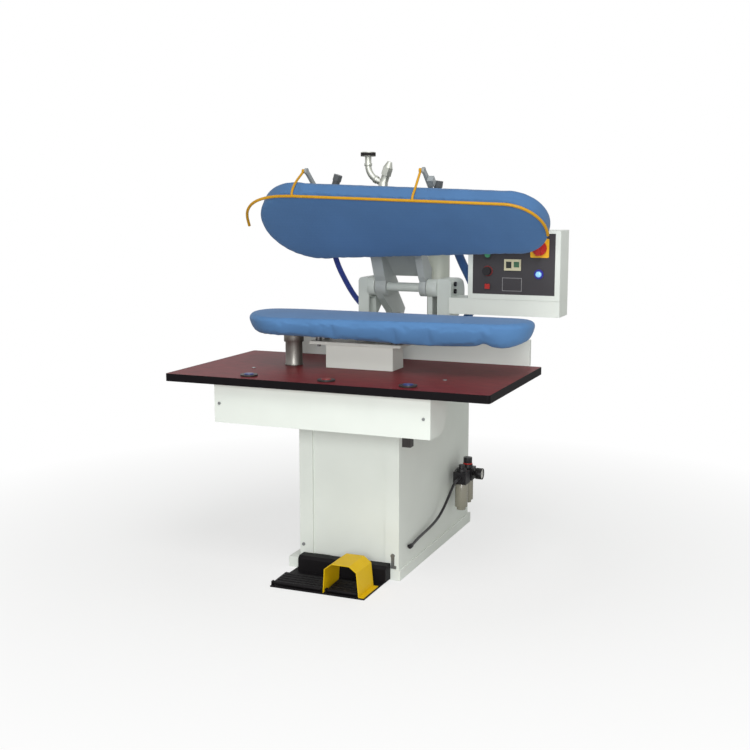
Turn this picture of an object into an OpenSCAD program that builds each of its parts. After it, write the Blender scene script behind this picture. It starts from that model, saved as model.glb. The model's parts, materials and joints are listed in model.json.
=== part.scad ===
// Pneumatic utility press: a padded head on a rear lever closes on a padded buck over a work table.
// Working frame of the modules: X = 0 is the machine's middle plane, Y = 0 the middle of the table
// with the front towards -Y, and Z = 0 the floor. The finished part is moved so that its origin lies
// on the floor under the middle of its outer box.

/* [Table] */
// Width of the work table
table_w = 1364; // [1350:2:1370]
// Depth of the work table
table_d = 754; // [746:2:762]
// Height of the table's top face
table_z = 845; // [842:1:850]
// Thickness of the table board with its edge band
table_t = 31; // [30:1:34]
// Half distance between the outer palm buttons
palm_x = 339; // [320:1:350]
// Distance of the palm buttons in front of the table's middle
palm_y = 300; // [280:1:310]

/* [Cabinet] */
// Width of the cabinet over its side panels
cabinet_w = 446; // [440:2:450]
// Distance of the cabinet's front face in front of the table's middle
cabinet_front = 91; // [85:1:95]
// Distance of the cabinet's rear face behind the table's middle
cabinet_rear = 819; // [815:1:825]
// Thickness of the sheet panels
sheet = 2; // [1.5:0.5:2.5]
// Leg of the frame's steel angles
leg = 40; // [36:1:42]
// Outer face of the left floor rail, from the machine's middle plane
rail_left = 276; // [270:1:280]
// Outer face of the right floor rail, from the machine's middle plane
rail_right = 230; // [226:1:236]
// Height of the floor rails
rail_h = 46; // [40:1:50]

/* [Press beds] */
// Radius of the wide left end of the beds
bed_r1 = 200; // [195:1:205]
// Radius of the narrow right end of the beds
bed_r2 = 140; // [135:1:145]
// Middle of the left end, from the machine's middle plane
bed_x1 = -288; // [-292:1:-284]
// Middle of the right end, from the machine's middle plane
bed_x2 = 596; // [590:1:600]
// Long axis of the beds, from the table's middle
bed_y = 50; // [46:1:54]
// Height of the buck's crowned top
buck_z = 1076; // [1074:1:1078]
// Space left between the two covers when the head is closed
closed_gap = 2; // [1:0.5:3]
// Thickness of the padded head at its edge
head_t = 84; // [80:1:88]
// Growth of the head's outline over the buck's
head_grow = 4; // [2:1:5]
// Distance that the buck stands to the left of the head
buck_shift = 8; // [4:1:10]

/* [Lever] */
// Shaft axis behind the table's middle
shaft_y = 520; // [518:1:522]
// Height of the shaft axis
shaft_z = 1149; // [1147:1:1151]
// Diameter of the main shaft
shaft_d = 40; // [36:1:42]
// Angle that the head stands open
open_deg = 43; // [42:0.5:44]
// Distance of the cylinder's pin from the shaft axis
tail_r = 250; // [246:1:252]

/* [Air cylinder] */
// Bore of the air cylinder
bore_d = 100; // [96:1:100]
// Diameter of the piston rod
rod_d = 28; // [25:1:30]
// Length of the barrel between its end caps
barrel_l = 300; // [296:1:304]

/* [Safety bar] */
// Diameter of the safety bar's rod
bar_d = 12; // [10:0.5:13]
// Space from the head's right edge to the middle of the rod
bar_gap = 13; // [12:0.5:15]
// Height of the bar's pivots above the pressing face
pivot_h = 148; // [144:1:150]

/* [Hoses and spring] */
// Diameter of the left steam hose
hose_l_d = 25; // [22:1:26]
// Diameter of the right steam hose
hose_r_d = 38; // [34:1:38]
// Diameter of the air hose
air_hose_d = 12; // [10:1:12]
// Turns of the return spring
spring_turns = 12; // [10:1:12]
// Wire of the return spring
spring_wire = 6; // [5:0.5:6]

/* [Hidden] */
$fn = 64;

white_paint = "#e4e8ea";
grey_paint = "#b5bcb8";
bright_steel = "#c3c6c8";
dark_steel = "#55585a";
blue_cloth = "#4f7cb0";
black_plastic = "#1d1b1e";
yellow_paint = "#dfb000";

// Outer box and origin
rail_front = cabinet_front + 3;
rail_rear = cabinet_rear + 26;
rail_in = 173;
bar_right = bed_x2 + bed_r2 + head_grow + bar_gap + bar_d / 2;
origin_x = (bar_right - table_w / 2) / 2;
origin_y = (rail_rear - table_d / 2) / 2;

// Cabinet faces
half_w = cabinet_w / 2;
inner_w = half_w - sheet;
top_z = table_z - table_t;
deck_t = 3;
deck_z = top_z + deck_t;
strip_w = 60;
recess = 10;
post_y = 510;
post_d = 60;

// Press beds
face_z = buck_z + closed_gap;
head_top = face_z + head_t;
chest_in = 15;
chest_wall = 12;
chest_step = 23;
port_d = 30;
steam_at = [30, 60];
buck_hem_z = buck_z - 90;
crown_slope = 0.12;
buck_chest_z = [buck_hem_z + 4, buck_z - 26];
flange_z = [table_z + 96, table_z + 109];
head_chest_z = [face_z + 22, head_top - 4.5];
bed_slope = (bed_r1 - bed_r2) / (bed_x2 - bed_x1);
bed_points = 48;

// Lever, in the closed position: a straight beam with its hub hanging below
hub_d = 78;
left_arm_x = [-121, -69];
right_arm_x = [90, 121];
tail_x = [-121, -87];
lever_top = shaft_z + 94;
arm_tip = -20;
boss_y = [20, 150];
tail_closed = 2;
tail_mid = tail_closed - open_deg / 2;
tail_pin = [shaft_y + tail_r * cos(tail_closed), shaft_z + tail_r * sin(tail_closed)];
pin_d = 20;

// Air cylinder, along its own axis from the fork's slot at rest
axis_tilt = -tail_mid;
slot_r = tail_r * (1 + cos(open_deg / 2)) / 2;
half_stroke = tail_r * sin(open_deg / 2);
slot_rest = [shaft_y + slot_r * cos(tail_mid) - half_stroke * sin(axis_tilt),
    shaft_z + slot_r * sin(tail_mid) - half_stroke * cos(axis_tilt)];
cylinder_x = (tail_x[0] + tail_x[1]) / 2;
cap_l = 28;
piston_l = 24;
gland_z = -250;
barrel_top = gland_z - cap_l;
barrel_bottom = barrel_top - barrel_l;
piston_top = barrel_bottom + 4 + piston_l;
foot_z = barrel_bottom - cap_l;
running = 0.05;
rod_at_deck = slot_rest[0] - (slot_rest[1] - deck_z) * tan(axis_tilt);

// Uprights
drum_x = 124;
bore_end = 155;
left_cheek = [157, 207];
right_cheek = [171, 235];
upright_y = [500, 600];
bearing_r = 40;
bush_d = shaft_d + 10;

// Control box
box_x = [323, 727];
box_y = [468, 618];
box_z = [1113, 1409];
fascia_x = [344, 705];
fascia_z = [1135, 1396];
fascia_y = [470, 473];
seat_y = 475;
button_x = 411;
start_z = 1304;
stop_z = 1234;
reset_z = 1168;
switch_at = [638, 1335];
lamp_at = [636, 1225];
button_d = 24;
arm_z = 1043;

// Safety bar, in the closed position
pivot_y = -138;
pivot_z = face_z + pivot_h;
bar_z = face_z - 3;
bar_r = bed_r2 + head_grow + bar_gap;
bar_front = [[bed_x2, bed_y - bar_r], [-274, -151]];
bar_hook = [[-345, -150], [-402, -141], [-452, -123], [-492, -96], [-522, -60], [-540, -18], [-551, 32]];
pivot_xs = [-266, 253];
arm_side = -13;

// Pedals
pedal_front = 355;
pedal_axis = [-338, 15];
pedal_rear = -229;
pedal_slope = 3;
left_pedal_x = [-222, -10];
right_pedal_x = [16, 144];
guard_y = [-352, -202];
base_t = 6;
hinge_d = 8;

// Air unit
air_x = 275;
lub_y = 560;
reg_y = 650;
air_z = 290;

// Hose routes, in the open position
left_route = [[-200, 735, 900], [-201, 733, 930], [-206, 722, 965], [-218, 694, 1000], [-236, 655, 1030],
    [-256, 612, 1070], [-274, 570, 1120], [-292, 532, 1180], [-306, 502, 1235], [-314, 474, 1295],
    [-312, 446, 1360], [-300, 412, 1425], [-280, 376, 1482], [-254, 342, 1524], [-222, 309, 1549],
    [-195.3, 277, 1557.9], [-192, 249.6, 1559]];
right_route = [[200, 735, 900], [202, 734.5, 930], [215, 733, 968], [244, 728, 1010], [270, 716, 1055],
    [284, 697, 1100], [283, 668, 1150], [271, 636, 1200], [256, 604, 1250], [246, 562, 1305],
    [246, 512, 1362], [252, 456, 1418], [260, 396, 1466], [266, 336, 1502], [269.6, 283, 1525.4],
    [270, 249.6, 1528.5]];
air_route = [[275, 500, 290], [275, 476, 288], [273, 454, 278], [269, 433, 258], [263, 413, 232],
    [257, 391, 205], [251, 364, 180], [246, 330, 160], [242, 290, 147], [239, 245, 139], [237, 198, 134],
    [236, 150, 131], [235, 105, 127], [235, 64, 123], [235, 40, 120], [235, 24, 119]];

module place() translate([-origin_x, -origin_y, 0]) children();

module head_open() place() translate([0, shaft_y, shaft_z]) rotate([-open_deg, 0, 0])
    translate([0, -shaft_y, -shaft_z]) children();

module both_sides() {
    children();
    mirror([1, 0, 0]) children();
}

module block(low, high) translate(low) cube(high - low);

module along_x(x) translate([x[0], 0, 0]) rotate([90, 0, 90]) linear_extrude(x[1] - x[0]) children();

module rod_x(x, y, z, d) translate([x[0], y, z]) rotate([0, 90, 0]) cylinder(d = d, h = x[1] - x[0]);

module rod_y(x, y, z, d) translate([x, y[0], z]) rotate([-90, 0, 0]) cylinder(d = d, h = y[1] - y[0]);

module rod_z(x, y, z, d) translate([x, y, z[0]]) cylinder(d = d, h = z[1] - z[0]);

module rounded_rect(w, d, r) {
    square([w - 2 * r, d], center = true);
    square([w, d - 2 * r], center = true);
    for (x = [-1, 1], y = [-1, 1]) translate([x * (w / 2 - r), y * (d / 2 - r)]) circle(r);
}

// Flat strip between two points, wa wide at the first and wb at the second
module strip(a, b, wa, wb) {
    along = (b - a) / norm(b - a);
    side = [-along[1], along[0]];
    polygon([a + side * wa / 2, b + side * wb / 2, b - side * wb / 2, a - side * wa / 2]);
}

// Closed skin over a list of rings with equal point counts, in triangles
module loft(rings) {
    k = len(rings[0]);
    last = (len(rings) - 1) * k;
    sides = [for (i = [0:len(rings) - 2], j = [0:k - 1])
        let (a = i * k + j, b = i * k + (j + 1) % k, c = b + k, d = a + k)
        each [[a, d, c], [a, c, b]]];
    caps = [for (j = [1:k - 2]) each [[0, j, j + 1], [last, last + j + 1, last + j]]];
    polyhedron([for (r = rings) each r], concat(sides, caps), convexity = 8);
}

function unit(v) = v / norm(v);

function heading(p, i) = unit(p[min(i + 1, len(p) - 1)] - p[max(i - 1, 0)]);

function square_to(v, t) = unit(v - (v * t) * t);

// Side vectors carried along a path without twist
function carried(p, start, i = 0, found = []) = i == len(p) ? found :
    carried(p, start, i + 1, concat(found, [square_to(i == 0 ? start : found[i - 1], heading(p, i))]));

// Round tube of k sides along a path
module tube(path, d, k, start) {
    side = carried(path, start);
    loft([for (i = [0:len(path) - 1])
        let (t = heading(path, i), n = side[i], b = cross(t, n))
        [for (j = [0:k - 1]) path[i] + d / 2 * (cos(360 * j / k) * n + sin(360 * j / k) * b)]]);
}

// Smooth curve through hand-chosen points, with a few steps to each span
function through(p, i, f) = let (a = p[max(i - 1, 0)], b = p[i], c = p[i + 1], d = p[min(i + 2, len(p) - 1)])
    0.5 * (2 * b + (c - a) * f + (2 * a - 5 * b + 4 * c - d) * f * f + (3 * b - a - 3 * c + d) * f * f * f);

function smooth(p, steps) = concat([for (i = [0:len(p) - 2], s = [0:steps - 1]) through(p, i, s / steps)],
    [p[len(p) - 1]]);

// Bed outline: the hull of a wide left circle and a narrow right one, grown or shrunk by out
function bed_point(turn, out) = let (n = [cos(turn), sin(turn)], right = n[0] > bed_slope)
    [right ? bed_x2 : bed_x1, bed_y] + (right ? bed_r2 + out : bed_r1 + out) * n;

function bed_ring(out, z) = [for (i = [0:bed_points - 1])
    let (p = bed_point(-360 * (i + 0.5) / bed_points, out)) [p[0], p[1], z]];

module bed_outline(out) polygon([for (p = bed_ring(out, 0)) [p[0], p[1]]]);

// Floor rails, folded channels open below, with anchor holes inside the cabinet
module plinth() color(white_paint) place() difference() {
    wall = 5;
    cross_w = 50;
    union() {
        for (x = [[-rail_left, -rail_in], [rail_in, rail_right]]) difference() {
            block([x[0], -rail_front, 0], [x[1], rail_rear, rail_h]);
            block([x[0] + wall, -rail_front + wall, -1], [x[1] - wall, rail_rear - wall, rail_h - wall]);
        }
        block([-rail_in, -rail_front, wall], [rail_in, -rail_front + wall, rail_h]);
        block([-rail_in, -rail_front, rail_h - wall], [rail_in, -rail_front + cross_w, rail_h]);
        block([-rail_in, rail_rear - wall, wall], [rail_in, rail_rear, rail_h]);
        block([-rail_in, rail_rear - cross_w, rail_h - wall], [rail_in, rail_rear, rail_h]);
    }
    for (x = [-1, 1], y = [0, 750]) rod_z(x * 199, y, [rail_h - 2 * wall, rail_h + 1], 14);
}

// Welded frame of angle posts, channel posts in the middle, and the tilted beam that carries the cylinder
module cabinet_frame() color(grey_paint) place() {
    wall = 5;
    front = -cabinet_front + sheet;
    rear = cabinet_rear - sheet;
    both_sides() {
        for (y = [[front, front], [rear - leg, rear - wall]]) {
            block([inner_w - wall, y[0], rail_h], [inner_w, y[0] + leg, top_z]);
            block([inner_w - leg, y[1], rail_h], [inner_w, y[1] + wall, top_z]);
        }
        block([inner_w - wall, post_y, rail_h], [inner_w, post_y + post_d, top_z]);
        for (y = [post_y, post_y + post_d - wall])
            block([inner_w - leg, y, rail_h], [inner_w, y + wall, top_z]);
        block([inner_w - wall, front, top_z - leg], [inner_w, rear, top_z]);
        block([inner_w - leg, front, top_z - wall], [inner_w, rear, top_z]);
    }
    for (y = [recess + sheet - cabinet_front, upright_y[0], rear - leg]) {
        block([1 - inner_w, y, top_z - wall], [inner_w - 1, y + leg, top_z]);
        block([1 - inner_w, y, top_z - leg], [inner_w - 1, y + wall, top_z]);
    }
    along_cylinder(0) block([wall - inner_w - 1, -30, foot_z - 50], [inner_w - wall + 1, 30, foot_z]);
}

module side_panel() {
    front = -cabinet_front;
    block([inner_w, front, rail_h], [half_w, cabinet_rear, top_z]);
    block([half_w - strip_w, front, rail_h], [inner_w, front + sheet, top_z]);
    block([half_w - strip_w, front + sheet, rail_h],
        [half_w - strip_w + sheet, front + recess + sheet, top_z]);
}

module left_side_panel() color(white_paint) place() mirror([1, 0, 0]) side_panel();

module right_side_panel() color(white_paint) place() difference() {
    side_panel();
    rod_x([inner_w - 1, half_w + 1], air_route[len(air_route) - 1][1] - 12, 119, 12);
}

// Front sheet, set back between the two strips
module front_panel() color(white_paint) place()
    block([strip_w - half_w, recess - cabinet_front, rail_h + 22],
        [half_w - strip_w, recess + sheet - cabinet_front, top_z]);

// Rear sheet with two rows of cooling slots
module rear_panel() color(white_paint) place() difference() {
    slot_w = 90;
    slot_h = 8;
    slot_step = 24;
    block([-inner_w, cabinet_rear - sheet, rail_h], [inner_w, cabinet_rear, top_z]);
    for (x = [-1, 1], i = [0:5], z = [160, 560])
        block([x * 90 - slot_w / 2, cabinet_rear - sheet - 1, z + i * slot_step],
            [x * 90 + slot_w / 2, cabinet_rear + 1, z + i * slot_step + slot_h]);
}

// Deck behind the table, cut out for the piston rod
module rear_deck() color(white_paint) place() difference() {
    block([-half_w, table_d / 2 + sheet, top_z], [half_w, cabinet_rear, deck_z]);
    block([cylinder_x - 26, rod_at_deck - 34, top_z - 1], [cylinder_x + 26, rod_at_deck + 34, deck_z + 1]);
}

// Screws, bolts and the front panel's latch, all of the fixed frame
module fasteners() color(bright_steel) place() {
    screw_h = 4;
    front = -cabinet_front;
    for (x = [-455, 415]) rod_y(x, [-337 - screw_h, -337], 732, 12);
    rod_y(-206, [front - screw_h, front], 106, 14);
    rod_y(197, [front - 5, front], 103, 18);
    block([190, front - 3, 62], [204, front, 103]);
    block([189, front - 4, 50], [212, front, 62]);
    for (x = [-190, 190], z = [104, 420, 760]) rod_y(x, [cabinet_rear, cabinet_rear + screw_h], z, 12);
    for (x = [-420, 420]) rod_z(x, -110, [table_z, table_z + 3], 16);
    for (x = [-190, 150], y = [38, 122]) rod_z(x, y, [flange_z[1], buck_chest_z[0]], 26);
    for (y = [38, 122]) translate([-190, y, flange_z[0] - 11]) cylinder(d = 18, h = 11, $fn = 6);
    for (x = [-140, 158], y = [516, 566]) translate([x, y, deck_z + 14]) cylinder(d = 18, h = 10, $fn = 6);
    for (z = [1135, 1167]) rod_x([right_cheek[1], right_cheek[1] + 9], 546, z, 20);
}

// Laminate board, drilled for the palm buttons
module table_top() color("#5f2a2e") place() difference() {
    translate([0, 0, top_z]) linear_extrude(table_t) rounded_rect(table_w - 6, table_d - 6, 9);
    for (x = [-1:1]) rod_z(x * palm_x, -palm_y, [top_z - 1, table_z + 1], 46.4);
}

// Black band round the board
module table_edge() color(black_plastic) place() translate([0, 0, top_z])
    linear_extrude(table_t) difference() {
        rounded_rect(table_w, table_d, 12);
        rounded_rect(table_w - 6, table_d - 6, 9);
    }

// Folded panel under the table's front, with rounded end gussets and two arms to the cabinet
module apron_panel() color(white_paint) place() {
    left = -478;
    right = 442;
    front = -337;
    low = 654;
    inside = front + sheet;
    round_r = 75;
    gusset = [178, 85];
    block([left, front, low], [right, inside, top_z]);
    block([left, inside, low], [right, inside + 16, low + sheet]);
    block([left, inside, top_z - sheet], [right, inside + 10, top_z]);
    for (x = [left, right - sheet]) along_x([x, x + sheet]) translate([inside, 0]) {
        translate([0, low]) square([gusset[0] - round_r, top_z - low]);
        translate([0, top_z - gusset[1]]) square(gusset);
        translate([gusset[0] - round_r, top_z - gusset[1]]) intersection() {
            circle(round_r);
            translate([0, -round_r]) square(round_r);
        }
    }
    both_sides() block([180, inside, top_z - 80], [200, -cabinet_front, top_z]);
}

// White upstand along the table's rear edge
module rear_guard() color(white_paint) place() {
    left = -475;
    right = 628;
    top = 956;
    fold = 20;
    rear = table_d / 2;
    block([left, rear, deck_z], [right, rear + sheet, top]);
    block([left, rear + sheet, top - sheet], [right, rear + fold, top]);
    for (x = [left, right - sheet]) block([x, rear + sheet, table_z], [x + sheet, rear + fold, top - sheet]);
}

// Cast column, hollow on its inner side, with a round bearing drum; the right one has a second wall
module upright(cheek, second) difference() {
    top = shaft_z + 41;
    edge_r = 20;
    back = 695;
    back_r = 65;
    wide = cheek[1] - cheek[0];
    union() {
        intersection() {
            along_x(cheek) {
                polygon([[upright_y[0], deck_z], [upright_y[1], deck_z], [upright_y[1], 1010], [back, 1085],
                    [back, top - back_r], [back - back_r, top - back_r], [back - back_r, top],
                    [upright_y[0], top]]);
                translate([back - back_r, top - back_r]) circle(back_r);
            }
            translate([cheek[0], back + 1, deck_z]) rotate([90, 0, 0])
                linear_extrude(back + 2 - upright_y[0]) {
                    square([wide, top - edge_r - deck_z]);
                    square([wide - edge_r, top - deck_z]);
                    translate([wide - edge_r, top - edge_r - deck_z]) circle(edge_r);
                }
        }
        if (second) {
            block([drum_x, upright_y[0] + 10, deck_z], [drum_x + 21, upright_y[1], shaft_z]);
            block([drum_x, upright_y[1] - 20, deck_z], [cheek[0] + 1, upright_y[1], shaft_z]);
        }
        block([drum_x - 10, upright_y[0] - 10, deck_z], [cheek[0] + wide / 2, upright_y[1] + 10, deck_z + 14]);
        rod_x([drum_x, cheek[0] + 1], shaft_y, shaft_z, 2 * bearing_r);
    }
    rod_x([drum_x - 1, bore_end], shaft_y, shaft_z, bush_d);
    block([cheek[0] - 1, upright_y[0] + 12, deck_z + 30],
        [cheek[1] - 12, upright_y[1] - 12, shaft_z - bearing_r - 10]);
}

module left_upright() color(grey_paint) place() mirror([1, 0, 0]) upright(left_cheek, false);

module right_upright() color(grey_paint) place() upright(right_cheek, true);

module shaft_bushes() color("#a8843c") place() both_sides() difference() {
    union() {
        rod_x([drum_x, bore_end], shaft_y, shaft_z, bush_d);
        rod_x([drum_x - 2.4, drum_x], shaft_y, shaft_z, bush_d + 10);
    }
    rod_x([drum_x - 4, bore_end + 1], shaft_y, shaft_z, shaft_d + 2 * running);
}

// Sheet pedestal with a bolting flange
module buck_pedestal() color(white_paint) place() {
    wall = 3;
    difference() {
        block([-150, 20, table_z], [150, 140, flange_z[0]]);
        block([wall - 150, 20 + wall, table_z - 1], [150 - wall, 140 - wall, flange_z[0] - wall]);
    }
    block([-222, 12, flange_z[0]], [187, 148, flange_z[1]]);
}

// Steel post under the wide end of the buck
module support_column() color(bright_steel) place() {
    at = [-310, 45];
    rod_z(at[0], at[1], [table_z, table_z + 5], 76);
    rod_z(at[0], at[1], [table_z + 5, 945], 72);
    rod_z(at[0], at[1], [945, buck_chest_z[0]], 84);
}

// Cast steam chest, cored out, with one port of port_d; its lower part is drawn in by step
module chest(z, out, step, port, port_z) difference() {
    middle = z[0] + 0.58 * (z[1] - z[0]);
    union() {
        translate([0, 0, z[0]]) linear_extrude(middle - z[0]) bed_outline(out - step);
        translate([0, 0, middle]) linear_extrude(z[1] - middle) bed_outline(out);
    }
    translate([0, 0, z[0] + chest_wall]) linear_extrude(z[1] - z[0] - 2 * chest_wall)
        bed_outline(out - step - chest_wall);
    rod_z(port[0], port[1], port_z, port_d);
}

module buck_plate() color("#a7abad") place() translate([-buck_shift, 0, 0])
    chest(buck_chest_z, -chest_in, chest_step, [0, 80],
        [buck_chest_z[0] - 1, buck_chest_z[0] + 2 * chest_wall]);

// Fall of the buck's crown at a distance t from its long middle line
function crown_fall(t) = crown_slope * (sqrt(t * t + 900) - 30) + (t > 170 ? pow((t - 170) / 30, 2) * 3 : 0);

// Felt and cover of the buck: crowned across, rounded over the edge and drawn in towards its hem
module buck_pad() color(blue_cloth) place() translate([-buck_shift, 0, 0]) intersection() {
    felt = 3 - chest_in;
    skin = [[-125, 90], [-60, 89.5], [-26, 87.5], [-10, 82], [-2, 74], [0, 66], [-1, 56], [-6, 40],
        [-15, 20], [-26, 6], [-37, 0], [-50, 1], [-50, 3.5], [felt - chest_step, 3.5],
        [felt - chest_step, 36], [felt, 36], [felt, 64]];
    loft([for (s = skin) bed_ring(s[0], buck_hem_z + s[1])]);
    along_x([-600, 800]) polygon(concat([[bed_y + 210, buck_hem_z - 5], [bed_y - 210, buck_hem_z - 5]],
        [for (t = [-210:15:210]) [bed_y + t, buck_z + 0.2 - crown_fall(abs(t))]]));
}

// Channel beam from the right upright to the control box
module control_arm() color(white_paint) place() {
    wall = 3;
    left = right_cheek[1];
    front = box_y[0] + 4;
    rear = box_y[1];
    difference() {
        block([left, front, arm_z], [box_x[1], rear, box_z[0]]);
        block([left + wall, front + wall, arm_z + wall], [box_x[1] - wall, rear + 1, box_z[0] - wall]);
    }
}

// Folded box, open at its front, and the frame that closes it round the fascia
module control_box() color(white_paint) place() {
    difference() {
        block([box_x[0], seat_y, box_z[0]], [box_x[1], box_y[1], box_z[1]]);
        block([box_x[0] + sheet, seat_y - 1, box_z[0] + sheet],
            [box_x[1] - sheet, box_y[1] - sheet, box_z[1] - sheet]);
    }
    difference() {
        block([box_x[0], box_y[0], box_z[0]], [box_x[1], fascia_y[1], box_z[1]]);
        block([fascia_x[0], box_y[0] - 1, fascia_z[0]], [fascia_x[1], fascia_y[1] + 1, fascia_z[1]]);
    }
}

// Charcoal front plate with the collars of its push buttons, clamped by its rim between frame and box
module control_fascia() color("#3a3638") place() difference() {
    collar = 464;
    union() {
        block([fascia_x[0], fascia_y[0], fascia_z[0]], [fascia_x[1], fascia_y[1], fascia_z[1]]);
        difference() {
            block([box_x[0] + 0.5, fascia_y[1], box_z[0] + 0.5], [box_x[1] - 0.5, seat_y, box_z[1] - 0.5]);
            block([fascia_x[0] + 6, fascia_y[1] - 1, fascia_z[0] + 6],
                [fascia_x[1] - 6, seat_y + 1, fascia_z[1] - 6]);
        }
        rod_y(button_x, [collar, fascia_y[0]], start_z, 34);
        rod_y(button_x, [fascia_y[0] - 3, fascia_y[0]], stop_z, 44);
        block([button_x - 15, collar + 2, reset_z - 15], [button_x + 15, fascia_y[0], reset_z + 15]);
    }
    rod_y(button_x, [collar - 1, fascia_y[1] + 1], start_z, button_d + 0.6);
    rod_y(button_x, [collar - 1, fascia_y[1] + 1], stop_z, 16.6);
    block([button_x - 11.4, collar, reset_z - 11.4], [button_x + 11.4, fascia_y[1] + 1, reset_z + 11.4]);
    rod_y(switch_at[0], [collar, fascia_y[1] + 1], switch_at[1], 16);
}

// Panel timer with a sunk window
module timer() color("#cfc9a8") place() difference() {
    at = [485, 1238];
    size = [73, 48];
    block([at[0], 463, at[1]], [at[0] + size[0], fascia_y[0], at[1] + size[1]]);
    block([at[0] + 8, 462, at[1] + 10], [at[0] + 32, 465, at[1] + 38]);
    block([at[0] + 42, 462, at[1] + 14], [at[0] + 66, 465, at[1] + 38]);
}

module switch_plate() color(yellow_paint) place() difference() {
    translate([switch_at[0], fascia_y[0], switch_at[1]]) rotate([90, 0, 0])
        linear_extrude(4) rounded_rect(80, 80, 6);
    rod_y(switch_at[0], [460, 480], switch_at[1], 14 + 2 * running);
}

module pilot_lamp() color("#2f6fd0") place() {
    rod_y(lamp_at[0], [465, fascia_y[0]], lamp_at[1], 40);
    rod_y(lamp_at[0], [459, 465], lamp_at[1], 26);
}

// Frame of the cylinder: its axis leans back, with the fork's slot at the origin at rest
module along_cylinder(x) translate([x, slot_rest[0], slot_rest[1]]) rotate([-axis_tilt, 0, 0]) children();

module cylinder_barrel() color("#b9bdbf") place() along_cylinder(cylinder_x) difference() {
    translate([0, 0, barrel_bottom]) cylinder(d = bore_d + 8, h = barrel_l);
    translate([0, 0, barrel_bottom - 1]) cylinder(d = bore_d, h = barrel_l + 2);
}

module cylinder_caps() color(dark_steel) place() along_cylinder(cylinder_x) {
    difference() {
        translate([0, 0, barrel_top]) cylinder(d = bore_d + 16, h = cap_l);
        translate([0, 0, barrel_top - 1]) cylinder(d = rod_d + 2 * running, h = cap_l + 2);
    }
    translate([0, 0, foot_z]) cylinder(d = bore_d + 16, h = cap_l);
}

// Rod with its piston and the slotted fork that takes the lever's pin
module piston_rod() color(bright_steel) place() along_cylinder(cylinder_x) {
    cheek = 12;
    gap = tail_x[1] - tail_x[0] + 4;
    wide = gap + 2 * cheek;
    deep = 68;
    low = -84;
    slot_w = pin_d + 2.8;
    slot_half = (tail_r - slot_r) + 1.7;
    translate([0, 0, piston_top - piston_l]) cylinder(d = bore_d - 2 * running, h = piston_l);
    translate([0, 0, piston_top]) cylinder(d = rod_d, h = low - piston_top);
    difference() {
        block([-wide / 2, -deep / 2, low], [wide / 2, deep / 2, 24]);
        block([-gap / 2, -deep / 2 - 1, low + 24], [gap / 2, deep / 2 + 1, 25]);
        along_x([-wide / 2 - 1, wide / 2 + 1]) {
            square([2 * slot_half, slot_w], center = true);
            for (s = [-1, 1]) translate([s * slot_half, 0]) circle(d = slot_w);
        }
    }
}

// Steam pipe on the rear deck, with its separator vessel, two hose stubs, a supply stub and a drain stub
module steam_manifold() color("#8f9496") place() {
    y = 735;
    z = 850;
    rod_x([-235, 235], y, z, 48);
    for (x = [-235, 229]) rod_x([x, x + 6], y, z, 60);
    for (s = [[-200, hose_l_d], [200, hose_r_d]]) {
        rod_z(s[0], y, [z, 886], s[1] + 6);
        rod_z(s[0], y, [886, 899.2], s[1]);
    }
    for (x = [-60, 60]) {
        rod_y(x, [y, 764], z, 32);
        rod_y(x, [764, 842], z, 21.3);
    }
    for (x = [-150, 150]) block([x - 20, y - 20, deck_z], [x + 20, y + 20, z]);
    rod_z(110, 690, [deck_z, 1310], 102);
    rod_z(110, 690, [1310, 1322], 60);
}

// Filter regulator and lubricator bodies joined by a nipple, on a wall bracket
module air_unit_body() color(black_plastic) place() difference() {
    half = [30, 32, 28];
    union() {
        for (y = [lub_y, reg_y]) {
            translate([air_x, y, air_z]) cube(2 * half, center = true);
            rod_z(air_x, y, [air_z + half[2], air_z + half[2] + 12], 46);
        }
        rod_z(air_x, lub_y, [air_z + half[2] + 12, air_z + half[2] + 30], 26);
        rod_y(air_x, [lub_y, reg_y], air_z, 30);
        block([half_w, reg_y - 30, air_z - 14], [air_x - half[0], reg_y + 30, air_z + 14]);
        rod_y(air_x, [reg_y + half[1], reg_y + half[1] + 8], air_z, 34);
    }
    rod_y(air_x, [reg_y + half[1] - 14, reg_y + half[1] + 9], air_z, 18.6);
    rod_z(air_x, reg_y, [air_z + half[2] - 10, air_z + half[2] + 13], 14 + 2 * running);
}

module air_bowls() color("#9a9a90") place() {
    for (b = [[lub_y, 58, 140], [reg_y, 52, 152]]) {
        rod_z(air_x, b[0], [b[2] + 14, air_z - 28], b[1]);
        rod_z(air_x, b[0], [b[2], b[2] + 14], b[1] - 16);
    }
}

// Dial gauge facing out from the regulator
module pressure_gauge() color(black_plastic) place() {
    face = 347;
    rod_x([air_x + 30, air_x + 42], reg_y, air_z, 20);
    difference() {
        rod_x([air_x + 42, face], reg_y, air_z, 52);
        rod_x([face - 4, face + 1], reg_y, air_z, 46);
    }
}

module regulator_knob() color(black_plastic) place() difference() {
    low = air_z + 41;
    union() {
        rod_z(air_x, reg_y, [low - 19, low], 14);
        rod_z(air_x, reg_y, [low, low + 32], 40);
    }
    for (i = [0:11])
        translate([air_x, reg_y, low + 8]) rotate(30 * i) translate([20.5, 0, 0]) cylinder(d = 4, h = 30);
}

module air_hose() color(black_plastic) place() tube(smooth(air_route, 2), air_hose_d, 8, [1, 0, 0]);

// Barb on the lubricator and elbow on the cabinet's side
module air_hose_fittings() color(bright_steel) place() {
    end = air_route[len(air_route) - 1];
    rod_y(air_x, [air_route[0][1], lub_y - 46], air_z, air_hose_d + 4);
    translate([air_x, lub_y - 32, air_z]) rotate([90, 0, 0]) cylinder(d = 28, h = 14, $fn = 6);
    rod_y(end[0], [end[1] - 22, end[1]], end[2], air_hose_d + 6);
    rod_x([half_w - 6, end[0]], end[1] - 12, end[2], 11);
}

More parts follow.
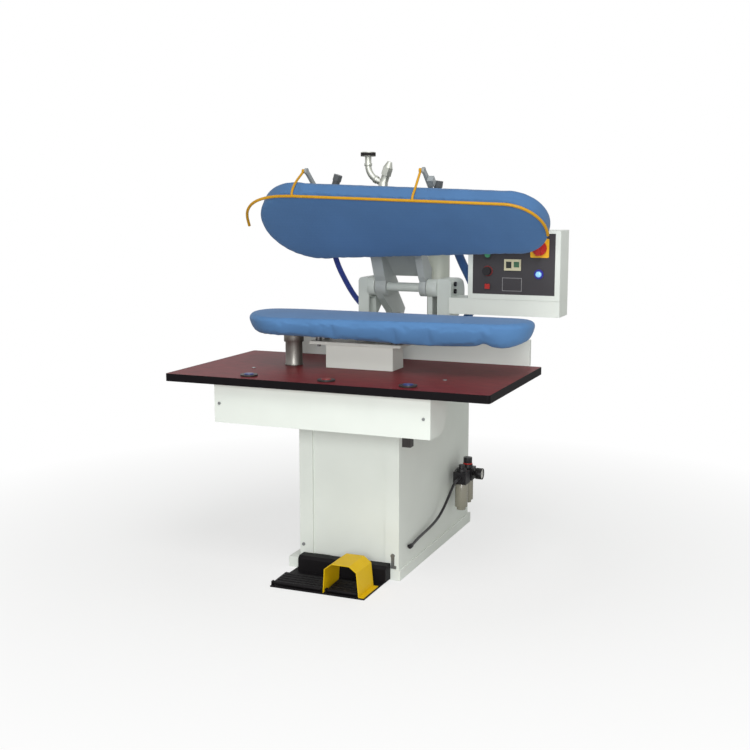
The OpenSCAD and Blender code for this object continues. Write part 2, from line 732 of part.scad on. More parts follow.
module left_steam_hose() color("#24398a") place() tube(smooth(left_route, 2), hose_l_d, 10, [1, 0, 0]);

module right_steam_hose() color("#2a5fa0") place() tube(smooth(right_route, 2), hose_r_d, 10, [1, 0, 0]);

// Return spring round the piston rod, between the piston and the upper cap
spring_r = 30;
spring_z = [piston_top + spring_wire / 2 + 1, barrel_top - spring_wire / 2 - 1];
spring_steps = 8 * spring_turns;
spring_coil = [for (i = [0:spring_steps])
    [spring_r * cos(45 * i), spring_r * sin(45 * i),
        spring_z[0] + (spring_z[1] - spring_z[0]) * i / spring_steps]];
spring_start = spring_coil[0] - spring_wire * unit(spring_coil[1] - spring_coil[0]);
spring_end = spring_coil[spring_steps]
    + spring_wire * unit(spring_coil[spring_steps] - spring_coil[spring_steps - 1]);
spring_path = concat([spring_start], spring_coil, [spring_end]);
spring_gap = min([for (i = [0:len(spring_path) - 1], j = [i + 5:1:len(spring_path) - 1])
    norm(spring_path[i] - spring_path[j])]) - spring_wire;
echo(spring_gap = spring_gap);

module return_spring() color("#8b8f92") place() along_cylinder(cylinder_x)
    tube(spring_path, spring_wire, 6, [0, 0, 1]);

// Bezel on the table and valve body below it, one for each palm button
module palm_housings() color(bright_steel) place() for (x = [-1:1])
    translate([x * palm_x, -palm_y, 0]) difference() {
        foot = x == 1 ? 614 : 662;
        union() {
            rod_z(0, 0, [table_z, table_z + 7], 70);
            rod_z(0, 0, [top_z - 20, table_z], 46);
            block([-17, -17, foot], [17, 17, top_z - 20]);
        }
        rod_z(0, 0, [table_z - 32, table_z + 8], 40.2);
    }

module palm_button(i) place() translate([i * palm_x, -palm_y, 0]) {
    rod_z(0, 0, [table_z - 24, table_z + 9], 40);
    rod_z(0, 0, [table_z + 9, table_z + 10.5], 34);
}

module palm_button_left() color("#2a4fa8") palm_button(-1);

module palm_button_middle() color("#c03028") palm_button(0);

module palm_button_right() color("#2a4fa8") palm_button(1);

// Floor plate of the pedals with the lugs and the pin of their hinge
module pedal_base() color(black_plastic) place() {
    lug_w = 6;
    block([-230, -pedal_front, 0], [181, -rail_front, base_t]);
    for (x = [left_pedal_x, right_pedal_x]) {
        for (low = [x[0] - 1 - lug_w, x[1] + 1])
            block([low, pedal_axis[0] - 8, base_t], [low + lug_w, pedal_axis[0] + 8, pedal_axis[1] + 7]);
        rod_x([x[0] - lug_w, x[1] + lug_w], pedal_axis[0], pedal_axis[1], hinge_d);
    }
}

// Valve housing behind the pedals
module pedal_housing() color(black_plastic) place() along_x([-205, 188]) polygon([[-150, base_t],
    [-rail_front, base_t], [-rail_front, 72], [-138, 72], [-150, 60]]);

// Sheet arch over the right pedal, with feet on the floor plate
module pedal_guard() color(yellow_paint) place() translate([0, guard_y[1], 0]) rotate([90, 0, 0])
    linear_extrude(guard_y[1] - guard_y[0]) {
        t = 3;
        outer = [[2, base_t], [8, 104], [40, 128], [116, 128], [148, 104], [157.7, base_t + t],
            [178, base_t + t], [178, base_t]];
        inner = [[2 + t, base_t], [8 + t, 103], [41, 128 - t],
            [115, 128 - t], [148 - t, 103], [158 - t, base_t]];
        polygon(concat(outer, [for (i = [len(inner) - 1:-1:0]) inner[i]]));
    }

// Treadle plate hinged at its front edge, sloping up to the rear
module pedal(x) place() difference() {
    t = 6;
    length = pedal_rear - pedal_axis[0];
    union() {
        translate([0, pedal_axis[0], pedal_axis[1]]) rotate([pedal_slope, 0, 0]) {
            block([x[0], 5, -2], [x[1], length, t - 2]);
            for (i = [1:4]) block([x[0] + 8, 22 * i, t - 3], [x[1] - 8, 22 * i + 8, t]);
        }
        rod_x([x[0] + 1, x[1] - 1], pedal_axis[0], pedal_axis[1], 15);
    }
    rod_x([x[0] - 1, x[1] + 1], pedal_axis[0], pedal_axis[1], hinge_d + 2 * running);
}

module left_pedal() color("#262428") pedal(left_pedal_x);

module right_pedal() color("#262428") pedal(right_pedal_x);

// Red rotary handle of the main switch
module main_switch_knob() color("#c8281e") place() translate([switch_at[0], 0, switch_at[1]]) {
    rod_y(0, [458, 478], 0, 14);
    rod_y(0, [456, 465.4], 0, 62);
    block([-10, 434, -30], [10, 456, 30]);
}

module stop_button() color(black_plastic) place() {
    rod_y(button_x, [456, 488], stop_z, 16);
    rod_y(button_x, [444, 456], stop_z, 36);
}

module start_button() color("#1f9a4c") place() rod_y(button_x, [459, 486], start_z, button_d);

module reset_button() color("#d02a20") place()
    block([button_x - 11, 461, reset_z - 11], [button_x + 11, 484, reset_z + 11]);

// Cast yoke: two arms over the head, joined by a plate along their top, and a tail behind the shaft
module head_lever() color(grey_paint) head_open() {
    hub_r = hub_d / 2;
    tail_r_end = 34;
    arm = [[arm_tip, lever_top - 48], [330, lever_top - 53], [373, shaft_z + 37], [455, shaft_z + 4],
        [shaft_y - hub_r, shaft_z], [shaft_y + hub_r, shaft_z], [shaft_y + hub_r, shaft_z + 20],
        [500, lever_top], [120, lever_top], [arm_tip, lever_top - 10]];
    back = [[480, lever_top], [480, shaft_z], [shaft_y + hub_r, shaft_z], [618, shaft_z + 60],
        [600, lever_top]];
    tail = [[480, lever_top], [shaft_y - 30, shaft_z], [shaft_y, shaft_z - hub_r], [555, shaft_z - 41],
        [667, shaft_z - 25], [tail_pin[0], tail_pin[1] - tail_r_end], [tail_pin[0] + tail_r_end, tail_pin[1]],
        [tail_pin[0] + 24, lever_top - 4]];
    difference() {
        union() {
            for (x = [left_arm_x, right_arm_x]) {
                along_x(x) polygon(arm);
                rod_x(x, shaft_y, shaft_z, hub_d);
                for (y = boss_y) rod_z((x[0] + x[1]) / 2, y, [head_chest_z[1], lever_top - 20], 46);
            }
            along_x([left_arm_x[1], right_arm_x[0]]) translate([160, lever_top - 14]) square([340, 14]);
            along_x([left_arm_x[1], right_arm_x[0] - 14]) translate([500, lever_top - 14]) square([40, 14]);
            along_x(left_arm_x) polygon(back);
            along_x(tail_x) {
                polygon(tail);
                translate(tail_pin) circle(tail_r_end);
            }
        }
        rod_x([left_arm_x[0] - 1, right_arm_x[1] + 1], shaft_y, shaft_z, shaft_d);
        rod_x([tail_x[0] - 1, tail_x[1] + 1], tail_pin[0], tail_pin[1], pin_d);
    }
}

module main_shaft() color(bright_steel) head_open()
    rod_x([2 - bore_end, bore_end - 2], shaft_y, shaft_z, shaft_d);

// Pin of the cylinder's fork with its two retaining rings
module lever_pins() color(bright_steel) head_open() {
    half = 38;
    rod_x([cylinder_x - half, cylinder_x + half], tail_pin[0], tail_pin[1], pin_d);
    for (x = [cylinder_x - half + 1, cylinder_x + half - 4])
        rod_x([x, x + 3], tail_pin[0], tail_pin[1], pin_d + 8);
}

// Cast steam chest inside the head's cover, ribbed on its back
module head_plate() color("#a7abad") head_open() {
    chest(head_chest_z, head_grow - chest_in, 0, steam_at,
        [head_chest_z[1] - 2 * chest_wall, head_chest_z[1] + 1]);
    for (r = [[-420, 70], [-330, 110], [-30, 110], [160, 100], [400, 84], [540, 66]])
        block([r[0] - 6, bed_y - r[1], head_chest_z[1]], [r[0] + 6, bed_y + r[1], head_chest_z[1] + 14]);
}

// Felt and cover of the head: flat pressing face, upright side and a hem drawn over the back
module head_pad() color(blue_cloth) head_open() {
    skin = [[-125, 0], [-45, 0.5], [-16, 3], [-5, 10], [0, 22], [0, 58], [-4, 72], [-14, 81], [-30, 84],
        [-50, 83], [-50, 80.5], [3 - chest_in, 80.5], [3 - chest_in, 22]];
    translate([0, 0, face_z]) mirror([0, 0, 1]) loft([for (s = skin) bed_ring(head_grow + s[0], -s[1])]);
}

// Bent brackets on the head's back, which carry the safety bar's pivots and its limit valve
module bar_brackets() color("#8d9396") head_open() {
    half = 5;
    pivot = [pivot_y, pivot_z];
    foot = [6, head_chest_z[1] + 12];
    knee = [-30, pivot_z + 10];
    for (x = pivot_xs) {
        wide = x > 0 ? 30 : 20;
        difference() {
            along_x([x - half, x + half]) {
                strip(foot, knee, wide, wide);
                translate(knee) circle(d = wide);
                strip(knee, pivot, wide, 20);
                translate(pivot) circle(d = 26);
            }
            rod_x([x - half - 1, x + half + 1], pivot_y, pivot_z, hinge_d + 2 * running);
        }
        block([x - 18, -24, head_chest_z[1]], [x + 18, 24, head_chest_z[1] + 12]);
    }
    block([pivot_xs[1] + half, -92, pivot_z - 14], [pivot_xs[1] + half + 24, -58, pivot_z + 14]);
}

// Front edge of the head's cover at one x
function edge_y(x) = bed_y - head_grow - bed_r1 + max(0, x - bed_x1) * bed_slope / sqrt(1 - bed_slope ^ 2);

// Yellow rod along the head's front edge, with its two arms, bowed round the cover, and their pivot pins
module safety_bar() color(yellow_paint) head_open() {
    round_right = [for (a = [7, 0, -9, -18, -27, -36, -45, -54, -63, -72, -81])
        [bed_x2, bed_y] + bar_r * [cos(a), sin(a)]];
    path = concat(round_right, [bar_front[0]], smooth(concat([bar_front[1]], bar_hook), 2));
    slope = (bar_front[1][1] - bar_front[0][1]) / (bar_front[1][0] - bar_front[0][0]);
    tube([for (p = path) [p[0], p[1], bar_z]], bar_d, 12, [0, 0, 1]);
    for (x = pivot_xs) {
        at = x + arm_side;
        foot = [at, bar_front[0][1] + slope * (at - bar_front[0][0]), bar_z];
        bow = min(foot[1], edge_y(at) - 8);
        arm = [foot, [at, bow, face_z + 14], [at, bow, face_z + 60], [at, pivot_y, pivot_z]];
        tube(smooth(arm, 3), 10, 10, [1, 0, 0]);
        rod_x([at - 6, at + 6], pivot_y, pivot_z, 18);
        rod_x([at + 6, x + 9], pivot_y, pivot_z, hinge_d);
    }
}

// Steam valve and vent bend on the head, upright while the head is open
module steam_fittings() color(bright_steel) head_open() {
    boss_top = 1188;
    bend_r = 70;
    bend_deg = 60;
    pipe_d = 27;
    vent_x = -67;
    vent_z = 190;
    nut_d = 33;
    rod_z(steam_at[0], steam_at[1], [head_chest_z[1], boss_top], 46);
    translate([steam_at[0], steam_at[1], boss_top]) rotate([open_deg, 0, 0]) {
        sphere(d = 44);
        cylinder(d = 40, h = 120);
        translate([0, 0, 108]) rotate([0, 18, 0]) {
            cylinder(d = 34, h = 44);
            translate([0, 0, 40]) cylinder(d = 44, h = 34, $fn = 6);
            translate([0, 0, 74]) cylinder(d1 = 38, d2 = 20, h = 24);
        }
        translate([vent_x + bend_r * (1 - cos(bend_deg)), 0, vent_z - bend_r * sin(bend_deg)])
            rotate([0, 180 - bend_deg, 0]) {
                translate([0, 0, -5]) cylinder(d = nut_d, h = 12);
                translate([0, 0, 2]) cylinder(d = pipe_d, h = 38);
            }
        translate([vent_x + bend_r, 0, vent_z]) rotate([90, 0, 0]) rotate([0, 0, 180])
            rotate_extrude(angle = bend_deg) translate([bend_r, 0]) circle(d = pipe_d);
        rod_z(vent_x, 0, [vent_z - 5, vent_z + 7], nut_d);
        rod_z(vent_x, 0, [vent_z + 2, 224], pipe_d);
        rod_z(vent_x, 0, [224, 242], 62);
    }
}

// Hose unions on the head's back, nearly upright while the head is open, with their ports to the rear
module hose_elbows() color("#8f9496") head_open() {
    for (e = [[-222, 18.5, 95, 180, hose_l_d], [262, 8, 60, 146, hose_r_d]]) {
        translate([e[0], 60, head_chest_z[1]]) rotate([open_deg, 0, 0]) rotate([0, e[1], 0]) {
            rod_z(0, 0, [20, e[3] - 26], 32);
            translate([0, 0, e[3] - 26]) cylinder(d = 40, h = 26, $fn = 6);
            rod_y(0, [0, 46], e[2], e[4] + 6);
            rod_y(0, [46, 59], e[2], e[4]);
        }
        rod_z(e[0], 60, [head_chest_z[1], head_chest_z[1] + 34], 46);
    }
}

plinth();
cabinet_frame();
left_side_panel();
right_side_panel();
front_panel();
rear_panel();
rear_deck();
fasteners();
table_top();
table_edge();
apron_panel();
rear_guard();
left_upright();
right_upright();
shaft_bushes();
buck_pedestal();
support_column();
buck_plate();
buck_pad();
control_arm();
control_box();
control_fascia();
timer();
switch_plate();
pilot_lamp();
cylinder_barrel();
cylinder_caps();
steam_manifold();
air_unit_body();
air_bowls();
pressure_gauge();
air_hose();
air_hose_fittings();
left_steam_hose();
right_steam_hose();
return_spring();
palm_housings();
pedal_base();
pedal_housing();
pedal_guard();
head_lever();
main_shaft();
lever_pins();
head_plate();
head_pad();
bar_brackets();
steam_fittings();
hose_elbows();
safety_bar();
piston_rod();
left_pedal();
right_pedal();
palm_button_left();
palm_button_middle();
palm_button_right();
main_switch_knob();
stop_button();
start_button();
reset_button();
regulator_knob();
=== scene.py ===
import json
import math
import random

import bmesh
import bpy
from mathutils import Matrix, Vector


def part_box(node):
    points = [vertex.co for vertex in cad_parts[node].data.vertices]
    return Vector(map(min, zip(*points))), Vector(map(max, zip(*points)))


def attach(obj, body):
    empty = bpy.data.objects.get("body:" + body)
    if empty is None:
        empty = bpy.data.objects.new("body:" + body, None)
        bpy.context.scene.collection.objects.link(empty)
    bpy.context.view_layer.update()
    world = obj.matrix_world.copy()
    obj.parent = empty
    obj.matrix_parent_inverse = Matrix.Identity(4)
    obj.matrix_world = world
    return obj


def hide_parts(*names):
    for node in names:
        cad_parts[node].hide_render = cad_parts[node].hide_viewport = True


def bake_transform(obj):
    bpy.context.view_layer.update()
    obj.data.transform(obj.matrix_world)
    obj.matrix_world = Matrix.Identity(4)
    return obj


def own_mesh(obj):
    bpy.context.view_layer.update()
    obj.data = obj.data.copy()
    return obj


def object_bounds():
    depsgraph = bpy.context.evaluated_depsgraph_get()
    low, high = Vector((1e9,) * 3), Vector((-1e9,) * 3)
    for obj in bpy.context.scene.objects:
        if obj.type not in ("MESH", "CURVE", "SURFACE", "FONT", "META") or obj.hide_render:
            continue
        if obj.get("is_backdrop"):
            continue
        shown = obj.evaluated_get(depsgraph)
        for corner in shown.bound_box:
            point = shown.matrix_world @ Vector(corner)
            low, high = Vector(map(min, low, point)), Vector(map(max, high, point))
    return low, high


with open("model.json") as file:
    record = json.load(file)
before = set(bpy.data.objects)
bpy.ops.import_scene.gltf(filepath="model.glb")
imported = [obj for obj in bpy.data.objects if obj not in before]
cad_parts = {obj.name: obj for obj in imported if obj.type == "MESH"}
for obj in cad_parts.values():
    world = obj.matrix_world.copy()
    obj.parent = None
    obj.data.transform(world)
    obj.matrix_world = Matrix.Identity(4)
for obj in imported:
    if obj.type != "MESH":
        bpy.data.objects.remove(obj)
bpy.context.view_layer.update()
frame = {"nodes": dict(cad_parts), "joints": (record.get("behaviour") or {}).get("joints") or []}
nodes = frame["nodes"]
joints = {joint["name"]: joint for joint in frame["joints"]}

# Camera
# A normal lens to the operator's right, a little higher than the open head, looking back and down at
# the press. Its place and angles come from the edges of the table, the cabinet and the control box.
camera_place = (1.798, -4.484, 1.557)
camera_tilt = 81.01
camera_turn = 22.45
camera = bpy.data.objects.new("camera", bpy.data.cameras.new("camera"))
camera.data.sensor_width = 36
camera.data.lens = 54.65
camera.location = camera_place
camera.rotation_euler = (math.radians(camera_tilt), 0, math.radians(camera_turn))
bpy.context.scene.collection.objects.link(camera)
bpy.context.scene.camera = camera

# Studio
# A pale floor under an even white surround, a broad key lamp high on the right and a wide lamp in front.
# The surround is plain white where the camera, metal or glass sees it, and the floor fades into it.
bpy.context.scene.view_settings.view_transform = "Standard"


def linear(code):
    """An sRGB hex colour as the linear colour that a shader takes."""
    parts = [int(code[i:i + 2], 16) / 255 for i in (1, 3, 5)]
    return [c / 12.92 if c <= 0.04045 else ((c + 0.055) / 1.055) ** 2.4 for c in parts] + [1.0]


def add(tree, kind, options={}, inputs={}):
    """Adds a shader node; an input is a value, or the socket that feeds it."""
    node = tree.nodes.new("ShaderNode" + kind)
    for key, value in options.items():
        setattr(node, key, value)
    for key, value in inputs.items():
        if isinstance(value, bpy.types.NodeSocket):
            tree.links.new(value, node.inputs[key])
        else:
            node.inputs[key].default_value = value
    return node


world = bpy.data.worlds.new("surround")
bpy.context.scene.world = world
world.use_nodes = True
tree = world.node_tree
rays = add(tree, "LightPath")
seen = rays.outputs["Is Camera Ray"]
for ray in ("Is Glossy Ray", "Is Transmission Ray"):
    seen = add(tree, "Math", {"operation": "MAXIMUM"}, {0: seen, 1: rays.outputs[ray]}).outputs[0]
ambient = add(tree, "Background", {}, {"Color": linear("#f2f4ee"), "Strength": 0.4})
white = add(tree, "Background", {}, {"Color": (1, 1, 1, 1), "Strength": 1.0})
mixed = add(tree, "MixShader", {}, {0: seen, 1: ambient.outputs[0], 2: white.outputs[0]})
tree.links.new(mixed.outputs[0], tree.nodes["World Output"].inputs["Surface"])

floor_mesh = bpy.data.meshes.new("floor")
floor_half = 14.0
floor_corners = [(x * floor_half, y * floor_half, 0) for x, y in ((-1, -1), (1, -1), (1, 1), (-1, 1))]
floor_mesh.from_pydata(floor_corners, [], [(0, 1, 2, 3)])
floor = bpy.data.objects.new("floor", floor_mesh)
bpy.context.scene.collection.objects.link(floor)
floor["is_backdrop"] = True
floor_paint = bpy.data.materials.new("studio floor")
floor_paint.use_nodes = True
tree = floor_paint.node_tree
tree.nodes.remove(tree.nodes["Principled BSDF"])
rays = add(tree, "LightPath")
matte = add(tree, "BsdfDiffuse", {}, {"Color": linear("#f2f2f2")})
glow = add(tree, "Emission", {}, {"Color": (1, 1, 1, 1), "Strength": 1.0})
away = add(tree, "VectorMath", {"operation": "LENGTH"}, {0: add(tree, "TexCoord").outputs["Object"]})
fade = add(tree, "MapRange", {}, {0: away.outputs["Value"], 1: 0.9, 2: 2.6, 3: 0.62, 4: 1.0})
share = add(tree, "Math", {"operation": "MULTIPLY"}, {0: rays.outputs["Is Camera Ray"], 1: fade.outputs[0]})
mixed = add(tree, "MixShader", {}, {0: share.outputs[0], 1: matte.outputs[0], 2: glow.outputs[0]})
tree.links.new(mixed.outputs[0], tree.nodes["Material Output"].inputs["Surface"])
floor_mesh.materials.append(floor_paint)

lamp_aim = Vector((0, 0, 0.9))
lamps = (("key lamp", (1.5, -2.6, 4.2), 2.2, 74), ("front lamp", (2.2, -6.6, 2.4), 2.6, 226))
for name, place, size, power in lamps:
    lamp = bpy.data.objects.new(name, bpy.data.lights.new(name, "AREA"))
    lamp.data.shape = "DISK"
    lamp.data.size = size
    lamp.data.energy = power
    lamp.location = place
    lamp.rotation_euler = (lamp_aim - lamp.location).to_track_quat("-Z", "Y").to_euler()
    bpy.context.scene.collection.objects.link(lamp)

# Air hose
# Black polyurethane tube from the lubricator's barb down to the elbow low on the cabinet's side. It is
# pushed over the barb and sags under its own weight. Extruded, so smooth with a soft gloss.
MM = 0.001
origin_shift = Vector((38.5, 234, 0))


def from_machine(point):
    """A place in the machine's own millimetres as metres in the frame."""
    return (Vector(point) - origin_shift) * MM


def smooth_path(points, steps):
    """A smooth curve through points, with steps to each span."""
    found = []
    for i in range(len(points) - 1):
        a, b, c, d = (points[min(max(j, 0), len(points) - 1)] for j in range(i - 1, i + 3))
        for f in (k / steps for k in range(steps)):
            found.append(0.5 * (2 * b + (c - a) * f + (2 * a - 5 * b + 4 * c - d) * f ** 2
                                + (3 * b - a - 3 * c + d) * f ** 3))
    return found + [points[-1]]


def tube(mesh, path, radius, sides, start):
    """Adds a closed round tube along a path; radius may be a list, and start points to its first side."""
    side = Vector(start)
    rings = []
    for i, point in enumerate(path):
        along = (path[min(i + 1, len(path) - 1)] - path[max(i - 1, 0)]).normalized()
        side = (side - side.dot(along) * along).normalized()
        other = along.cross(side)
        r = radius[i] if isinstance(radius, list) else radius
        turns = [2 * math.pi * j / sides for j in range(sides)]
        rings.append([mesh.verts.new(point + r * (math.cos(t) * side + math.sin(t) * other)) for t in turns])
    for a, b in zip(rings, rings[1:]):
        for j in range(sides):
            mesh.faces.new((a[j], a[(j + 1) % sides], b[(j + 1) % sides], b[j]))
    mesh.faces.new(rings[0][::-1])
    mesh.faces.new(rings[-1])


def piece_of(name, mesh, material, sharp_deg=35):
    """A shaded object made of a bmesh, with the given material."""
    data = bpy.data.meshes.new(name)
    mesh.to_mesh(data)
    mesh.free()
    data.materials.append(material)
    data.shade_smooth()
    data.set_sharp_from_angle(angle=math.radians(sharp_deg))
    piece = bpy.data.objects.new(name, data)
    bpy.context.scene.collection.objects.link(piece)
    return piece


def surface(name):
    """A new material with its tree and its shader."""
    material = bpy.data.materials.new(name)
    material.use_nodes = True
    return material, material.node_tree, material.node_tree.nodes["Principled BSDF"]


def per_mm(size):
    """Noise scale at which a pattern repeats about every size millimetres."""
    return 1000 / size


def moulded(name, colour, roughness, grain=3.0, depth=0.12, shade=0.12, gloss=0.5, coat=0.0):
    """Plastic, rubber or paint: an even colour that drifts a little, with a fine skin from mould or spray."""
    material, tree, shader = surface(name)
    place = add(tree, "TexCoord").outputs["Object"]
    drift = add(tree, "TexNoise", {}, {"Vector": place, "Scale": per_mm(140), "Detail": 4.0}).outputs["Fac"]
    dark = [c * (1 - shade) for c in linear(colour)[:3]] + [1]
    pale = [min(1, c * (1 + shade)) for c in linear(colour)[:3]] + [1]
    tone = add(tree, "ValToRGB", {}, {"Fac": drift})
    tone.color_ramp.elements[0].position = 0.3
    tone.color_ramp.elements[1].position = 0.7
    tone.color_ramp.elements[0].color = dark
    tone.color_ramp.elements[1].color = pale
    tree.links.new(tone.outputs[0], shader.inputs["Base Color"])
    skin = add(tree, "TexNoise", {}, {"Vector": place, "Scale": per_mm(grain), "Detail": 3.0}).outputs["Fac"]
    rough = add(tree, "MapRange", {}, {0: skin, 1: 0.3, 2: 0.7, 3: roughness - 0.06, 4: roughness + 0.06})
    tree.links.new(rough.outputs[0], shader.inputs["Roughness"])
    bump = add(tree, "Bump", {}, {"Height": skin, "Distance": depth * MM, "Strength": 0.5})
    tree.links.new(bump.outputs[0], shader.inputs["Normal"])
    shader.inputs["Specular IOR Level"].default_value = gloss
    shader.inputs["Coat Weight"].default_value = coat
    return material


air_route = [(275, 500, 290), (275, 476, 288), (273, 454, 278), (269, 433, 258), (263, 413, 232),
             (257, 391, 205), (251, 364, 180), (246, 330, 160), (242, 290, 147), (239, 245, 139),
             (237, 198, 134), (236, 150, 131), (235, 105, 127), (235, 64, 123), (235, 40, 120),
             (235, 24, 119)]
air_path = smooth_path([from_machine(p) for p in air_route], 4)


# Extruded polyurethane: a soft, even gloss
polyurethane = moulded("black polyurethane, extruded", "#1b1a1c", 0.34, grain=5)
air_hose_r = 6 * MM
mesh = bmesh.new()
tube(mesh, air_path, air_hose_r, 20, (1, 0, 0))
air_hose = piece_of("air_hose_tube", mesh, polyurethane)
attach(air_hose, "frame")
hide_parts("air_hose")

# Steam hoses
# Two rubber hoses in a woven blue jacket, one from each end of the manifold on the rear deck up to the
# unions on the head. They are clamped on their stubs and bend as the head swings.


def jacketed(name, colour, pitch):
    """Woven jacket over rubber: dull, its fine threads drawn pitch millimetres apart so that they show."""
    material, tree, shader = surface(name)
    place = add(tree, "TexCoord").outputs["Object"]
    drift = add(tree, "TexNoise", {}, {"Vector": place, "Scale": per_mm(60), "Detail": 5.0}).outputs["Fac"]
    tone = add(tree, "ValToRGB", {}, {"Fac": drift})
    tone.color_ramp.elements[0].color = [c * 0.8 for c in linear(colour)[:3]] + [1]
    tone.color_ramp.elements[1].color = [min(1, c * 1.2) for c in linear(colour)[:3]] + [1]
    tree.links.new(tone.outputs[0], shader.inputs["Base Color"])
    # Diagonal bands turn by 10 radians for a unit along each axis
    scale = 2 * math.pi / (10 * math.sqrt(3)) * per_mm(pitch)
    bands = add(tree, "TexWave", {"bands_direction": "DIAGONAL"}, {"Vector": place, "Scale": scale})
    bump = add(tree, "Bump", {}, {"Height": bands.outputs["Fac"], "Distance": 0.3 * MM, "Strength": 0.6})
    tree.links.new(bump.outputs[0], shader.inputs["Normal"])
    shader.inputs["Roughness"].default_value = 0.62
    shader.inputs["Sheen Weight"].default_value = 0.15
    return material


left_route = [(-200, 735, 900), (-201, 733, 930), (-206, 722, 965), (-218, 694, 1000), (-236, 655, 1030),
              (-256, 612, 1070), (-274, 570, 1120), (-292, 532, 1180), (-306, 502, 1235), (-314, 474, 1295),
              (-312, 446, 1360), (-300, 412, 1425), (-280, 376, 1482), (-254, 342, 1524), (-222, 309, 1549),
              (-195.3, 277, 1557.9), (-192, 249.6, 1559)]
right_route = [(200, 735, 900), (202, 734.5, 930), (215, 733, 968), (244, 728, 1010), (270, 716, 1055),
               (284, 697, 1100), (283, 668, 1150), (271, 636, 1200), (256, 604, 1250), (246, 562, 1305),
               (246, 512, 1362), (252, 456, 1418), (260, 396, 1466), (266, 336, 1502), (269.6, 283, 1525.4),
               (270, 249.6, 1528.5)]
jacket_pitch = 18.14
for name, route, width, colour in (("left_steam_hose", left_route, 25, "#24398a"),
                                   ("right_steam_hose", right_route, 38, "#2c568f")):
    path = smooth_path([from_machine(p) for p in route], 4)
    mesh = bmesh.new()
    tube(mesh, path, width / 2 * MM, 28, (1, 0, 0))
    jacket = jacketed(name + " jacket, woven", colour, jacket_pitch)
    hose = piece_of(name + "_jacket", mesh, jacket)
    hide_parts(name)
    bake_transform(hose)

# Plinth, cabinet and sheet covers
# Folded mild steel, spot welded and screwed, with a white powder coat baked on: an even satin skin with
# a slight orange peel. The frame inside is steel angle in grey enamel.


def dress(names, material, edge=0.8):
    """Gives solids their finish, and their edges the small radius in millimetres of the real ones."""
    for name in names:
        piece = nodes[name]
        piece.data.materials.clear()
        piece.data.materials.append(material)
        if edge:
            weld = piece.modifiers.new("weld", "WELD")
            weld.merge_threshold = 0.01 * MM
            bevel = piece.modifiers.new("edges", "BEVEL")
            bevel.width = edge * MM
            bevel.segments = 2
            bevel.limit_method = "ANGLE"
            bevel.angle_limit = math.radians(40)
            bevel.harden_normals = True


# Powder coat is an even satin white with a faint orange peel, and enamel on a casting is duller and coarser
powder_coat = moulded("white powder coat on steel", "#e2e7e1", 0.42, grain=2.5, depth=0.1, shade=0.02)
grey_enamel = moulded("grey enamel on cast iron", "#ccd2cd", 0.5, grain=4, depth=0.3, shade=0.05)
dress(["plinth"], powder_coat, 3)
dress(["left_side_panel", "front_panel", "rear_panel", "rear_deck", "apron_panel", "rear_guard",
       "control_box", "control_arm"], powder_coat, 0.7)
# The right sheet keeps a crisp edge: rounding it creases the shading from a corner to the hose's hole
dress(["right_side_panel"], powder_coat, 0)
dress(["buck_pedestal"], powder_coat, 1.5)
dress(["cabinet_frame"], grey_enamel, 2)


def metal(name, colour, roughness, grain=0.8, depth=0.02, shade=0.06):
    """Bare metal: its own colour at the mirror angle, with fine tool or wear marks in its gloss."""
    material, tree, shader = surface(name)
    place = add(tree, "TexCoord").outputs["Object"]
    marks = add(tree, "TexNoise", {}, {"Vector": place, "Scale": per_mm(grain), "Detail": 4.0}).outputs["Fac"]
    wear = add(tree, "TexNoise", {}, {"Vector": place, "Scale": per_mm(35), "Detail": 6.0}).outputs["Fac"]
    tone = add(tree, "ValToRGB", {}, {"Fac": wear})
    tone.color_ramp.elements[0].color = [c * (1 - shade) for c in linear(colour)[:3]] + [1]
    tone.color_ramp.elements[1].color = [min(1, c * (1 + shade)) for c in linear(colour)[:3]] + [1]
    tree.links.new(tone.outputs[0], shader.inputs["Base Color"])
    rough = add(tree, "MapRange", {}, {0: wear, 1: 0.3, 2: 0.7, 3: roughness - 0.08, 4: roughness + 0.08})
    tree.links.new(rough.outputs[0], shader.inputs["Roughness"])
    bump = add(tree, "Bump", {}, {"Height": marks, "Distance": depth * MM, "Strength": 0.4})
    tree.links.new(bump.outputs[0], shader.inputs["Normal"])
    shader.inputs["Metallic"].default_value = 1.0
    return material


# Zinc plate is a dull grey shine, and turned steel is brighter
zinc_plate = metal("zinc plate on steel", "#8f9192", 0.45)
turned_steel = metal("turned steel", "#b9bcbb", 0.36)
dress(["fasteners"], zinc_plate, 0.8)

# Work table
# Particle board under a maroon laminate, pressed with a fine pebble, and a black edge band glued round
# it. The laminate's skin is dull, with a faint sheen at a low angle.


